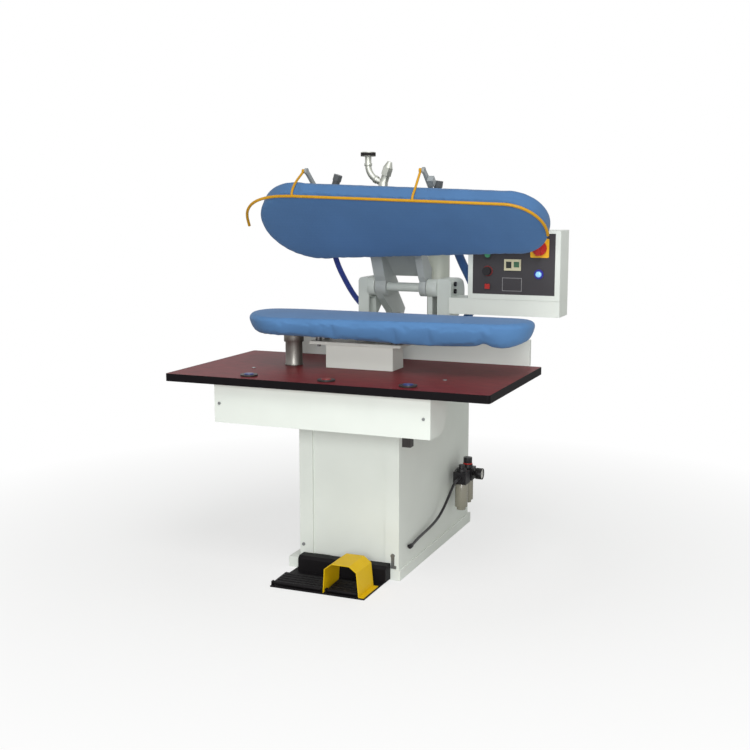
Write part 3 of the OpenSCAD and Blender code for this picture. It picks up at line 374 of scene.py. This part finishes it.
def laminated(name, colour):
    """High-pressure laminate: printed colour with faint grain along the table, under a clear pebbled skin."""
    material, tree, shader = surface(name)
    place = add(tree, "TexCoord").outputs["Object"]
    stretched = add(tree, "Mapping", {}, {"Vector": place, "Scale": (0.12, 1, 1)}).outputs[0]
    grain = add(tree, "TexNoise", {}, {"Vector": stretched, "Scale": per_mm(9), "Detail": 6.0}).outputs["Fac"]
    tone = add(tree, "ValToRGB", {}, {"Fac": grain})
    tone.color_ramp.elements[0].position = 0.35
    tone.color_ramp.elements[1].position = 0.65
    tone.color_ramp.elements[0].color = [c * 0.75 for c in linear(colour)[:3]] + [1]
    tone.color_ramp.elements[1].color = [c * 1.25 for c in linear(colour)[:3]] + [1]
    tree.links.new(tone.outputs[0], shader.inputs["Base Color"])
    pebble = add(tree, "TexNoise", {}, {"Vector": place, "Scale": per_mm(2), "Detail": 2.0}).outputs["Fac"]
    bump = add(tree, "Bump", {}, {"Height": pebble, "Distance": 0.08 * MM, "Strength": 0.5})
    tree.links.new(bump.outputs[0], shader.inputs["Normal"])
    shader.inputs["Roughness"].default_value = 0.46
    shader.inputs["Specular IOR Level"].default_value = 0.1
    return material


# The band is nearly black and takes no shine
laminate = laminated("maroon laminate", "#6c2226")
edge_band = moulded("black PVC edge band", "#0e0b0e", 0.6, grain=4, gloss=0.1)
dress(["table_top"], laminate, 0)
dress(["table_edge"], edge_band, 1)

# Uprights, shaft and bushes
# Two iron castings in grey enamel, hollow on their inner sides and bolted to the rear deck. A steel shaft,
# enamelled with them, runs in bronze bushes inside their drums.
# Turned bronze: warm and half bright
bronze = metal("turned bronze", "#a8843c", 0.35)
dress(["left_upright", "right_upright"], grey_enamel, 2.5)
dress(["main_shaft"], grey_enamel, 1)
dress(["lever_pins"], turned_steel, 1)
dress(["shaft_bushes"], bronze, 0.5)

# Buck
# A cast steam chest on a sheet pedestal and a turned post, under felt and a blue cotton cover. The cover is
# crowned across and drawn in below its edge by a cord in its hem, which hangs slack at the narrow end.
# Cast aluminium is pale grey with a sandy skin, and the post's drawn steel is darker and satin
cast_aluminium = metal("cast aluminium", "#a7abad", 0.48, grain=3, depth=0.15)
satin_steel = metal("satin steel, drawn and dulled", "#8a8883", 0.45)
dress(["support_column"], satin_steel, 1)
dress(["buck_plate", "head_plate"], cast_aluminium, 2)
thread_pitch = 18.85


def woven(name, colour, lean_deg):
    """Cotton cover cloth: plain weave with a soft sheen, its threads drawn far apart so that they show."""
    material, tree, shader = surface(name)
    place = add(tree, "TexCoord").outputs["Object"]
    lean = (math.radians(lean_deg), 0, 0)
    flat = add(tree, "Mapping", {"vector_type": "POINT"}, {"Vector": place, "Rotation": lean}).outputs[0]
    drift = add(tree, "TexNoise", {}, {"Vector": place, "Scale": per_mm(180), "Detail": 5.0}).outputs["Fac"]
    tone = add(tree, "ValToRGB", {}, {"Fac": drift})
    tone.color_ramp.elements[0].position = 0.3
    tone.color_ramp.elements[1].position = 0.7
    tone.color_ramp.elements[0].color = [c * 0.94 for c in linear(colour)[:3]] + [1]
    tone.color_ramp.elements[1].color = [c * 1.06 for c in linear(colour)[:3]] + [1]
    tree.links.new(tone.outputs[0], shader.inputs["Base Color"])
    # Bands along an axis turn by 20 radians for a unit
    scale = 2 * math.pi / 20 * per_mm(thread_pitch)
    threads = []
    for direction in "XY":
        bands = add(tree, "TexWave", {"bands_direction": direction}, {
            "Vector": flat, "Scale": scale, "Distortion": 1.5, "Detail": 2.0, "Detail Scale": 2.0})
        threads.append(bands.outputs["Fac"])
    weave = add(tree, "Math", {"operation": "MULTIPLY"}, {0: threads[0], 1: threads[1]})
    bump = add(tree, "Bump", {}, {"Height": weave.outputs[0], "Distance": 0.35 * MM, "Strength": 0.5})
    tree.links.new(bump.outputs[0], shader.inputs["Normal"])
    shader.inputs["Roughness"].default_value = 0.85
    shader.inputs["Specular IOR Level"].default_value = 0.25
    shader.inputs["Sheen Weight"].default_value = 0.12
    shader.inputs["Sheen Roughness"].default_value = 0.5
    return material


# Plan of the beds, from the buck's own solid: a wide end on the left and a narrow one on the right
buck_low, buck_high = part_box("buck_pad")
wide_r = (buck_high.y - buck_low.y) / 2
narrow_r = 140 * MM
bed_y = (buck_high.y + buck_low.y) / 2
wide_x = buck_low.x + wide_r
narrow_x = buck_high.x - narrow_r


def bed_ring(left_r, right_r, shift):
    """Points round a bed: the rear half from the left end to the right end, then the front half back."""
    span = narrow_x - wide_x
    lean = math.acos((left_r - right_r) / span)
    left, right = Vector((wide_x + shift, bed_y)), Vector((narrow_x + shift, bed_y))
    rear = [left + left_r * Vector((math.cos(a), math.sin(a)))
            for a in (math.pi + (lean - math.pi) * i / 36 for i in range(37))]
    to = right + right_r * Vector((math.cos(lean), math.sin(lean)))
    rear += [rear[36].lerp(to, i / 92) for i in range(1, 93)]
    rear += [right + right_r * Vector((math.cos(a), math.sin(a)))
             for a in (lean * (1 - i / 24) for i in range(1, 25))]
    return rear + [Vector((p.x, 2 * bed_y - p.y)) for p in rear[-2:0:-1]]


def curve_through(points, steps):
    """A smooth run of (out, up) pairs through the given ones."""
    return [(p.x, p.y) for p in smooth_path([Vector(p) for p in points], steps)]


crown_top = 91.5 * MM
crown_slope = 0.09
crown_round = 30 * MM
crown_ease = 4 * MM


def crown_height(height, aside):
    """Height of a point of the buck's cover, eased under the crown that falls away beside its middle."""
    roof = crown_top - crown_slope * (math.hypot(aside, crown_round) - crown_round)
    return 0.5 * (height + roof - math.hypot(height - roof, crown_ease))


def cover_mesh(profile, grow, shift, base, gather, seed, slack=(), crowned=False, narrow_grow=0, back=0):
    """Skin of a cover, from the middle of its face out over the edge to its hem, with gathers near the hem.

    slack lists places along the front of the hem, as x, half width and lift. narrow_grow is added to the
    narrow end, and back sets the wide end to the rear."""
    draw = random.Random(seed)
    inner = profile[0][0]
    narrow = narrow_r + narrow_grow
    rows = [((wide_r + inner) * t, (narrow + inner) * t, profile[0][1])
            for t in (0, 0.14, 0.28, 0.42, 0.56, 0.7, 0.85)]
    rows += [(wide_r + grow + out, narrow + grow + out, height) for out, height in profile]
    count = len(bed_ring(wide_r, narrow_r, shift))
    waves = [(round(draw.uniform(20, 70)), draw.uniform(0, 2 * math.pi)) for _ in range(5)]
    mesh = bmesh.new()
    grid = []
    for i, (left_r, right_r, height) in enumerate(rows):
        late = max(0.0, (i - 0.55 * len(rows)) / (0.45 * len(rows)))
        ring = []
        for j, p in enumerate(bed_ring(left_r, right_r, shift)):
            turn = 2 * math.pi * j / count
            wave = sum(math.sin(k * turn + phase) for k, phase in waves) / len(waves)
            middle = Vector((min(max(p.x, wide_x + shift), narrow_x + shift), bed_y))
            out = (p - middle).normalized() if (p - middle).length > 1e-9 else Vector((0, 0))
            front = min(1.0, max(0.0, 0.5 - out.y))
            lift = sum(up * math.exp(-((p.x - x) / half) ** 2) for x, half, up in slack) * front * late ** 1.2
            up = crown_height(height, p.y - bed_y) if crowned else height
            p = p + out * wave * gather * late ** 1.5
            p.y += back * min(1.0, max(0.0, (narrow_x + shift - p.x) / (narrow_x - wide_x)))
            ring.append(mesh.verts.new((p.x, p.y, base + up + lift + wave * gather * 0.4 * late)))
        grid.append(ring)
    for a, b in zip(grid, grid[1:]):
        for j in range(count):
            k = (j + 1) % count
            mesh.faces.new((a[k], b[k], b[j], a[j]))
    bmesh.ops.remove_doubles(mesh, verts=mesh.verts, dist=0.01 * MM)
    bmesh.ops.dissolve_degenerate(mesh, edges=mesh.edges, dist=0.01 * MM)
    return mesh


def settle(piece, rows, edge_row, pressure, cap, steps):
    """Blows the cloth out a little from inside, as felt under it does, and keeps the shape that it takes.

    Its face and its hem are held, and it is free from edge_row of its rows of points to the hem."""
    count = len(bed_ring(wide_r, narrow_r, 0))
    total = len(piece.data.vertices)
    group = piece.vertex_groups.new(name="held")
    for index in range(total):
        row = rows - (total - index) / count
        weight = 1.0 if row > rows - 3 else min(1.0, max(0.0, 1 - (row - edge_row) / 5))
        group.add([index], weight, "REPLACE")
    cloth = piece.modifiers.new("cloth", "CLOTH")
    cloth.settings.quality = 6
    cloth.settings.mass = 0.3
    cloth.settings.tension_stiffness = 20
    cloth.settings.compression_stiffness = 8
    cloth.settings.bending_stiffness = 0.3
    cloth.settings.shrink_min = -0.012
    cloth.settings.use_pressure = True
    cloth.settings.uniform_pressure_force = pressure
    cloth.settings.effector_weights.gravity = 0
    cloth.settings.vertex_group_mass = "held"
    cloth.collision_settings.use_self_collision = False
    cloth.point_cache.frame_end = steps
    for step in range(1, steps + 1):
        bpy.context.scene.frame_set(step)
    blown = piece.evaluated_get(bpy.context.evaluated_depsgraph_get()).data
    for vertex, after in zip(piece.data.vertices, [v.co.copy() for v in blown.vertices]):
        move = after - vertex.co
        vertex.co += move * min(1, cap / max(move.length, 1e-9))
    piece.modifiers.remove(cloth)
    piece.vertex_groups.remove(group)
    bpy.context.scene.frame_set(1)


def finish_cover(piece, thickness):
    """Rounds the cloth once more and gives it the thickness of felt and cover."""
    piece.modifiers.new("round", "SUBSURF").render_levels = 1
    felt = piece.modifiers.new("felt", "SOLIDIFY")
    felt.thickness = thickness
    felt.offset = -1


buck_section = [(-70, 88.5), (-34, 87.5), (-15, 84), (-6, 78), (-2, 70), (-2, 60), (-6, 44), (-14, 25),
                (-24, 10), (-34, 3), (-48, 3)]
buck_profile = curve_through([(out * MM, up * MM) for out, up in buck_section], 4)
felt_thickness = 7 * MM
hem_slack = [(from_machine((x, 0, 0)).x, half * MM, up * MM)
             for x, half, up in ((558, 20, 13), (632, 45, -10), (722, 30, 9), (-455, 26, 6), (330, 330, -20))]
cotton = woven("blue cotton cover", "#537fb0", 0)
mesh = cover_mesh(buck_profile, 0, 0, buck_low.z, 3 * MM, 4, hem_slack, crowned=True)
buck_cover = piece_of("buck_cover", mesh, cotton, 60)
settle(buck_cover, len(buck_profile), 6, 3.0, 3.5 * MM, 16)
finish_cover(buck_cover, felt_thickness)
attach(buck_cover, "frame")
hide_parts("buck_pad")

# Air cylinder
# A drawn aluminium barrel between two cast caps, with the rod and its slotted fork, and the return spring
# wound round the rod inside the barrel.
# Spring wire is grey under a film of oil, and the enamels are even and half dull
spring_wire_steel = metal("oiled spring wire", "#8b8f92", 0.36)
dark_enamel = moulded("dark grey enamel", "#5a5d5f", 0.45, grain=4, depth=0.2)
pipe_enamel = moulded("grey enamel on pipe", "#b3b7ac", 0.45, grain=3, depth=0.15)
dress(["cylinder_barrel"], cast_aluminium, 0.5)
dress(["cylinder_caps"], dark_enamel, 1.5)
dress(["piston_rod"], turned_steel, 1)
tilt = Vector(joints["rod_slide"]["axis"]).normalized()
spring_low, spring_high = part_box("return_spring")
spring_middle = (spring_low + spring_high) / 2
spring_length = 264 * MM
spring_r = 30 * MM
spring_wire_r = 3 * MM
spring_turns = 12
turn_steps = 24
turn_to_tilt = tilt.to_track_quat("Z", "X").to_matrix()
coil = []
for i in range(spring_turns * turn_steps + 1):
    a = 2 * math.pi * i / turn_steps
    height = (i / (spring_turns * turn_steps) - 0.5) * spring_length
    round_axis = Vector((spring_r * math.cos(a), spring_r * math.sin(a), height))
    coil.append(spring_middle + turn_to_tilt @ round_axis)
mesh = bmesh.new()
tube(mesh, coil, spring_wire_r, 10, tilt)
spring = piece_of("return_spring_coil", mesh, spring_wire_steel)
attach(spring, "frame")
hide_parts("return_spring")
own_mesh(spring)

# Steam pipe and separator
# Welded steel pipe in grey enamel along the rear deck, with the stubs for the two hoses, the supply and
# the drain.
dress(["steam_manifold"], pipe_enamel, 1)

# Head
# A cast yoke carries the upper steam chest under felt and a cover like the buck's, with its pressing face
# down. On its back are the brackets of the safety bar, the steam valve with its vent, and the hose unions.
# The yoke's enamel is coarse and dull, the strip's is smoother, and nickel is warm and softly bright
yoke_enamel = moulded("grey enamel on the yoke", "#b0b5b4", 0.5, grain=4, depth=0.3, shade=0.05)
strip_enamel = moulded("grey enamel on strip steel", "#8f9598", 0.42, grain=3, depth=0.15)
nickel_plate = metal("nickel plate on brass", "#b6b8b0", 0.5)
graphite_enamel = moulded("graphite enamel on malleable iron", "#4e5154", 0.45, grain=3, depth=0.2)
dress(["head_lever"], yoke_enamel, 2.5)
dress(["bar_brackets"], strip_enamel, 1.5)
dress(["steam_fittings"], nickel_plate, 1)
dress(["hose_elbows"], graphite_enamel, 1)
swing = joints["head_swing"]
open_deg = swing["range_deg"][1]
shaft = Vector(swing["pos_m"])
opening = Matrix.Rotation(math.radians(-open_deg), 4, "X")
to_open = Matrix.Translation(shaft) @ opening @ Matrix.Translation(-shaft)
head_shift = 8 * MM
head_grow = 9 * MM
face_z = 1078 * MM
head_section = [(-60, 0), (-36, 0.8), (-16, 3.5), (-6, 10), (-2, 22), (-2, 40), (-1, 60), (-4, 75), (-13, 85),
                (-30, 88), (-48, 87)]
head_profile = curve_through([(out * MM, up * MM) for out, up in head_section], 4)
mesh = cover_mesh(head_profile, head_grow, head_shift, face_z, 1.2 * MM, 9, narrow_grow=6 * MM, back=5 * MM)
bmesh.ops.reverse_faces(mesh, faces=mesh.faces)
# The head's cover is the buck's cloth in a darker blue: painted shade for its pressing face, turned down away
# from the lamps
head_cotton_painted_shade = woven("blue cotton cover of the head, darker for painted shade", "#4a719f", open_deg)
head_cover = piece_of("head_cover", mesh, head_cotton_painted_shade, 60)
settle(head_cover, len(head_profile), 6, 3.0, 5 * MM, 16)
head_cover.data.transform(to_open)
finish_cover(head_cover, felt_thickness)
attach(head_cover, "head")
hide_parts("head_pad")


def turned(mesh, centre, axis, profile, sides=40):
    """Adds a turned solid round an axis; profile is a list of (radius, height along the axis)."""
    axis = Vector(axis).normalized()
    side = axis.orthogonal().normalized()
    other = axis.cross(side)
    rings = []
    for radius, height in profile:
        place = Vector(centre) + axis * height * MM
        spokes = [math.cos(t) * side + math.sin(t) * other
                  for t in (2 * math.pi * j / sides for j in range(sides))]
        rings.append([mesh.verts.new(place + radius * MM * spoke) for spoke in spokes])
    for a, b in zip(rings, rings[1:]):
        for j in range(sides):
            mesh.faces.new((a[j], a[(j + 1) % sides], b[(j + 1) % sides], b[j]))
    bmesh.ops.remove_doubles(mesh, verts=mesh.verts, dist=0.001 * MM)
    bmesh.ops.dissolve_degenerate(mesh, edges=mesh.edges, dist=0.001 * MM)
    bmesh.ops.recalc_face_normals(mesh, faces=mesh.faces)


# Moulded rubber cap on the vent's disc: dull and nearly black
rubber = moulded("black moulded rubber", "#1d1a1a", 0.7, grain=4, gloss=0.25)
vent_disc = from_machine((-37, 210.2, 1715.2))
cap_profile = [(0, 18.8), (26, 18.8), (30, 17.6), (31.6, 15), (31.6, 3), (30, 0.4), (14.2, -0.6), (14.2, 0.2),
               (0, 0.2)]
mesh = bmesh.new()
turned(mesh, vent_disc, (0, 0, 1), cap_profile)
vent_cap = piece_of("vent_cap", mesh, rubber)
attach(vent_cap, "head")

# Safety bar
# A bent steel rod in yellow enamel, hung from two pivots in front of the head's edge, so that it
# is pushed back by a hand before the head reaches it.
# Brushed-on enamel over the rod: a dull gold yellow
yellow_enamel = moulded("yellow enamel on the bar", "#c49018", 0.45, grain=9, depth=0.03, shade=0.05,
                        gloss=0.3)
bar_z = face_z / MM - 4
pivot = (-138, face_z / MM + 148)
turns = [math.radians(a) for a in range(7, -86, -4)]
bend_x, bend_y, bend_r = 596, 50, 157
bar_bend = [Vector((bend_x + bend_r * math.cos(a), bend_y + bend_r * math.sin(a), bar_z)) for a in turns]
bar_hook = [(-274, -151), (-345, -150), (-402, -141), (-452, -123), (-492, -96), (-522, -60), (-540, -18),
            (-551, 32)]
sleeve = [(0, -6), (8.4, -6), (9, -5.4), (9, 5.4), (8.4, 6), (4, 6), (4, 13), (0, 13)]
mesh = bmesh.new()
hook = smooth_path([Vector((x, y, bar_z)) for x, y in bar_hook], 4)
tube(mesh, [from_machine(p) for p in bar_bend + hook], 6 * MM, 20, (0, 0, 1))
for at, foot_y, bow_y in ((-279, -151.2, -163), (240, -125, -134.5)):
    arm = [Vector((at, foot_y, bar_z)), Vector((at, bow_y, bar_z + 17)), Vector((at, bow_y, bar_z + 63)),
           Vector((at, *pivot))]
    tube(mesh, [from_machine(p) for p in smooth_path(arm, 6)], 5 * MM, 16, (1, 0, 0))
    turned(mesh, from_machine((at, *pivot)), (1, 0, 0), sleeve, 24)
mesh.transform(to_open)
safety_rod = piece_of("safety_rod", mesh, yellow_enamel)
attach(safety_rod, "safety_bar")
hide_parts("safety_bar")

# Control box
# Folded steel box on a channel arm, with a charcoal fascia of textured plastic. Its buttons, switch,
# timer and lamp are moulded plastic held from behind.
# The film is dull and finely grained, and the mouldings have an even soft gloss
fascia_plastic = moulded("charcoal polycarbonate film", "#2f2c30", 0.5, grain=1.5, depth=0.06)
black_plastic = moulded("black ABS", "#1a181b", 0.45, gloss=0.35)
red_plastic = moulded("red ABS", "#b3201a", 0.36)
green_plastic = moulded("green ABS", "#3f9068", 0.34)
beige_plastic = moulded("beige ABS", "#d3cdac", 0.45)
yellow_plastic = moulded("yellow ABS", "#e8ad12", 0.42)
navy_plastic = moulded("navy ABS", "#1d2f6e", 0.36)
dress(["control_fascia"], fascia_plastic, 0.5)
dress(["timer"], beige_plastic, 0.6)
dress(["switch_plate"], yellow_plastic, 0.8)
dress(["main_switch_knob", "reset_button"], red_plastic, 1.5)
dress(["start_button"], green_plastic, 1.2)
dress(["stop_button"], black_plastic, 1.5)

# The lit lens of the lamp: clear blue acrylic with the lamp's light in it
lit_lens, tree, shader = surface("blue acrylic lens, lit")
place = add(tree, "TexCoord").outputs["Object"]
cloud = add(tree, "TexNoise", {}, {"Vector": place, "Scale": per_mm(8)})
glow = add(tree, "ValToRGB", {}, {"Fac": cloud.outputs["Fac"]})
glow.color_ramp.elements[0].color = linear("#5aa6e0")
glow.color_ramp.elements[1].color = linear("#b2e2f8")
tree.links.new(glow.outputs[0], shader.inputs["Base Color"])
tree.links.new(glow.outputs[0], shader.inputs["Emission Color"])
shader.inputs["Emission Strength"].default_value = 0.35
shader.inputs["Roughness"].default_value = 0.18
out_of_box = (0, -1, 0)
lamp_at = (636, 459, 1225)
mesh = bmesh.new()
lens_profile = [(0, 2.6), (5, 2.4), (9, 1.6), (12, 0.2), (13.3, -1.6), (13.3, -6), (0, -6)]
turned(mesh, from_machine(lamp_at), out_of_box, lens_profile, 48)
lamp_lens = piece_of("lamp_lens", mesh, lit_lens, 50)
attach(lamp_lens, "frame")
# Its bezel is deep blue acrylic that takes up some of the light
lit_bezel = moulded("deep blue acrylic bezel", "#1c1680", 0.3)
shader = lit_bezel.node_tree.nodes["Principled BSDF"]
shader.inputs["Emission Color"].default_value = linear("#2a18c8")
shader.inputs["Emission Strength"].default_value = 0.12
dress(["pilot_lamp"], lit_bezel, 1.5)

# Moulded red ring under the stop button
ring_red = moulded("dark red ABS", "#7d1d1c", 0.4)
stop_at = (411, 467, 1234)
ring_profile = [(18.4, -0.2), (18.4, 1), (19, 1.6), (21, 1.6), (21.8, 1), (22.2, 0), (22.2, -2.6),
                (18.4, -0.2)]
mesh = bmesh.new()
turned(mesh, from_machine(stop_at), out_of_box, ring_profile, 48)
stop_ring = piece_of("stop_ring", mesh, ring_red)
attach(stop_ring, "frame")


def plate(mesh, low, high, edge=0.6):
    """Adds a plate between two corners in the machine's millimetres, with its front edges chamfered."""
    (x0, y0, z0), (x1, y1, z1) = low, high
    rings = [[(x0 + e, y, z0 + e), (x1 - e, y, z0 + e), (x1 - e, y, z1 - e), (x0 + e, y, z1 - e)]
             for y, e in ((y1, 0), (y0 + edge, 0), (y0, edge))]
    rings = [[mesh.verts.new(from_machine(p)) for p in ring] for ring in rings]
    for a, b in zip(rings, rings[1:]):
        for j in range(4):
            mesh.faces.new((a[j], a[(j + 1) % 4], b[(j + 1) % 4], b[j]))
    mesh.faces.new(rings[0][::-1])
    mesh.faces.new(rings[-1])


# Window of the timer, smoked acrylic over its display, and a green key beside it
mesh = bmesh.new()
plate(mesh, (493.4, 463.8, 1248.4), (516.6, 465.2, 1275.6), 0.4)
smoked_acrylic = moulded("smoked acrylic", "#17201c", 0.2, grain=9, depth=0.02)
timer_window = piece_of("timer_window", mesh, smoked_acrylic)
mesh = bmesh.new()
plate(mesh, (527.4, 463.6, 1252.4), (550.6, 465.2, 1275.6), 0.8)
timer_key = piece_of("timer_key", mesh, moulded("dark green ABS", "#3b6a4c", 0.4))
# Printed frame on the film, a hair thick
mesh = bmesh.new()
for low, high in (((476, 469.7, 1150), (562, 470, 1152)), ((476, 469.7, 1205), (562, 470, 1207)),
                  ((476, 469.7, 1152), (478, 470, 1205)), ((560, 469.7, 1152), (562, 470, 1205))):
    plate(mesh, low, high, 0.1)
film_frame = piece_of("film_frame", mesh, moulded("pale grey screen ink", "#9a989a", 0.5))
for piece in (timer_window, timer_key, film_frame):
    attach(piece, "frame")

# Socket screws of the arm, in black oxide, which is nearly black with a dull metal shine
black_oxide = metal("black oxide on steel", "#2b2b2e", 0.42)
mesh = bmesh.new()
screw = [(0, 4), (5, 4), (5, 9.6), (9.4, 9.6), (10.4, 8.8), (10.4, 0.1), (0, 0.1)]
for z in (1135, 1167):
    turned(mesh, from_machine((235, 546, z)), (1, 0, 0), screw, 36)
arm_screws = piece_of("arm_screws", mesh, black_oxide)
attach(arm_screws, "frame")

# Air service unit
# Die-cast and moulded filter regulator and lubricator on a bracket at the cabinet's side, with smoked
# bowls, a dial gauge and a fluted knob.
# Polycarbonate bowls: a smoky grey under a clear gloss
smoked_plastic = moulded("smoked polycarbonate", "#8d8a7c", 0.24, coat=0.4)
dress(["air_unit_body", "pressure_gauge", "regulator_knob"], black_plastic, 1.2)
dress(["air_bowls"], smoked_plastic, 2)
dress(["air_hose_fittings"], black_plastic, 0.8)
# Red lock ring under the knob
mesh = bmesh.new()
knob_foot = (275, 650, 331)
lock_profile = [(20.2, 0.4), (21.4, 0.8), (21.8, 2), (21.8, 5), (21.4, 6.2), (20.2, 6.6), (20.2, 0.4)]
turned(mesh, from_machine(knob_foot), (0, 0, 1), lock_profile, 48)
lock_ring = piece_of("lock_ring", mesh, red_plastic)
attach(lock_ring, "regulator_knob")
# Dial of the gauge: a white printed disc with a scale of strokes and a black needle
dial_x, dial_y, dial_z = 343, 650, 290
mesh = bmesh.new()
disc = [(0, 0.6), (22.6, 0.6), (22.9, 0.3), (22.9, 0), (0, 0)]
turned(mesh, from_machine((dial_x, dial_y, dial_z)), (1, 0, 0), disc, 48)
dial = piece_of("gauge_dial", mesh, moulded("white printed dial", "#e9e8e2", 0.45))


def stroke(mesh, turn_deg, near, far, width, x):
    """Adds a flat stroke on the dial, at an angle round it, between two radii."""
    a = math.radians(turn_deg)
    along, across = Vector((0, math.sin(a), math.cos(a))), Vector((0, math.cos(a), -math.sin(a)))
    middle = Vector((x, dial_y, dial_z))
    ends = ((near, -1), (near, 1), (far, 1), (far, -1))
    corners = [middle + along * r + across * side * width / 2 for r, side in ends]
    back = [mesh.verts.new(from_machine(p)) for p in corners]
    front = [mesh.verts.new(from_machine(p + Vector((0.3, 0, 0)))) for p in corners]
    for j in range(4):
        mesh.faces.new((back[j], back[(j + 1) % 4], front[(j + 1) % 4], front[j]))
    mesh.faces.new(front)
    mesh.faces.new(back[::-1])


mesh = bmesh.new()
for i in range(21):
    near, width = (16, 1.1) if i % 5 == 0 else (18.5, 0.7)
    stroke(mesh, -135 + 13.5 * i, near, 21, width, dial_x + 0.55)
stroke(mesh, 25, -5, 18, 1.6, dial_x + 1.2)
hub = [(0, 1.6), (2, 1.6), (2.6, 1.2), (2.6, 0), (0, 0)]
turned(mesh, from_machine((dial_x + 0.5, dial_y, dial_z)), (1, 0, 0), hub, 24)
bmesh.ops.recalc_face_normals(mesh, faces=mesh.faces)
dial_marks = piece_of("gauge_marks", mesh, black_plastic)
for piece in (dial, dial_marks):
    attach(piece, "frame")

# Palm buttons
# Valves with a dark bezel let into the table, with two blue caps to close the head and a red one to open
# it. The valve bodies hang below the board.
# Stove enamel: black with a soft gloss
valve_enamel = moulded("black enamel on the valves", "#2c2827", 0.45, grain=3, gloss=0.35)
dress(["palm_housings"], valve_enamel, 1)
dress(["palm_button_left", "palm_button_right"], navy_plastic, 1)
dress(["palm_button_middle"], ring_red, 1)

# Pedals
# Low treadles in black enamel, hinged at their front edge on a floor plate, with a yellow sheet arch
# over the right one.
# The treadles' enamel is worn dull, and the arch's is a clean lemon yellow
black_enamel = moulded("black enamel", "#110f11", 0.6, grain=5, depth=0.25, gloss=0.15)
lemon_enamel = moulded("lemon enamel on sheet", "#dfb800", 0.5, grain=6, depth=0.05, shade=0.05, gloss=0.25)
dress(["pedal_base", "pedal_housing", "left_pedal", "right_pedal"], black_enamel, 1.2)
dress(["pedal_guard"], lemon_enamel, 0.8)

low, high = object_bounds()
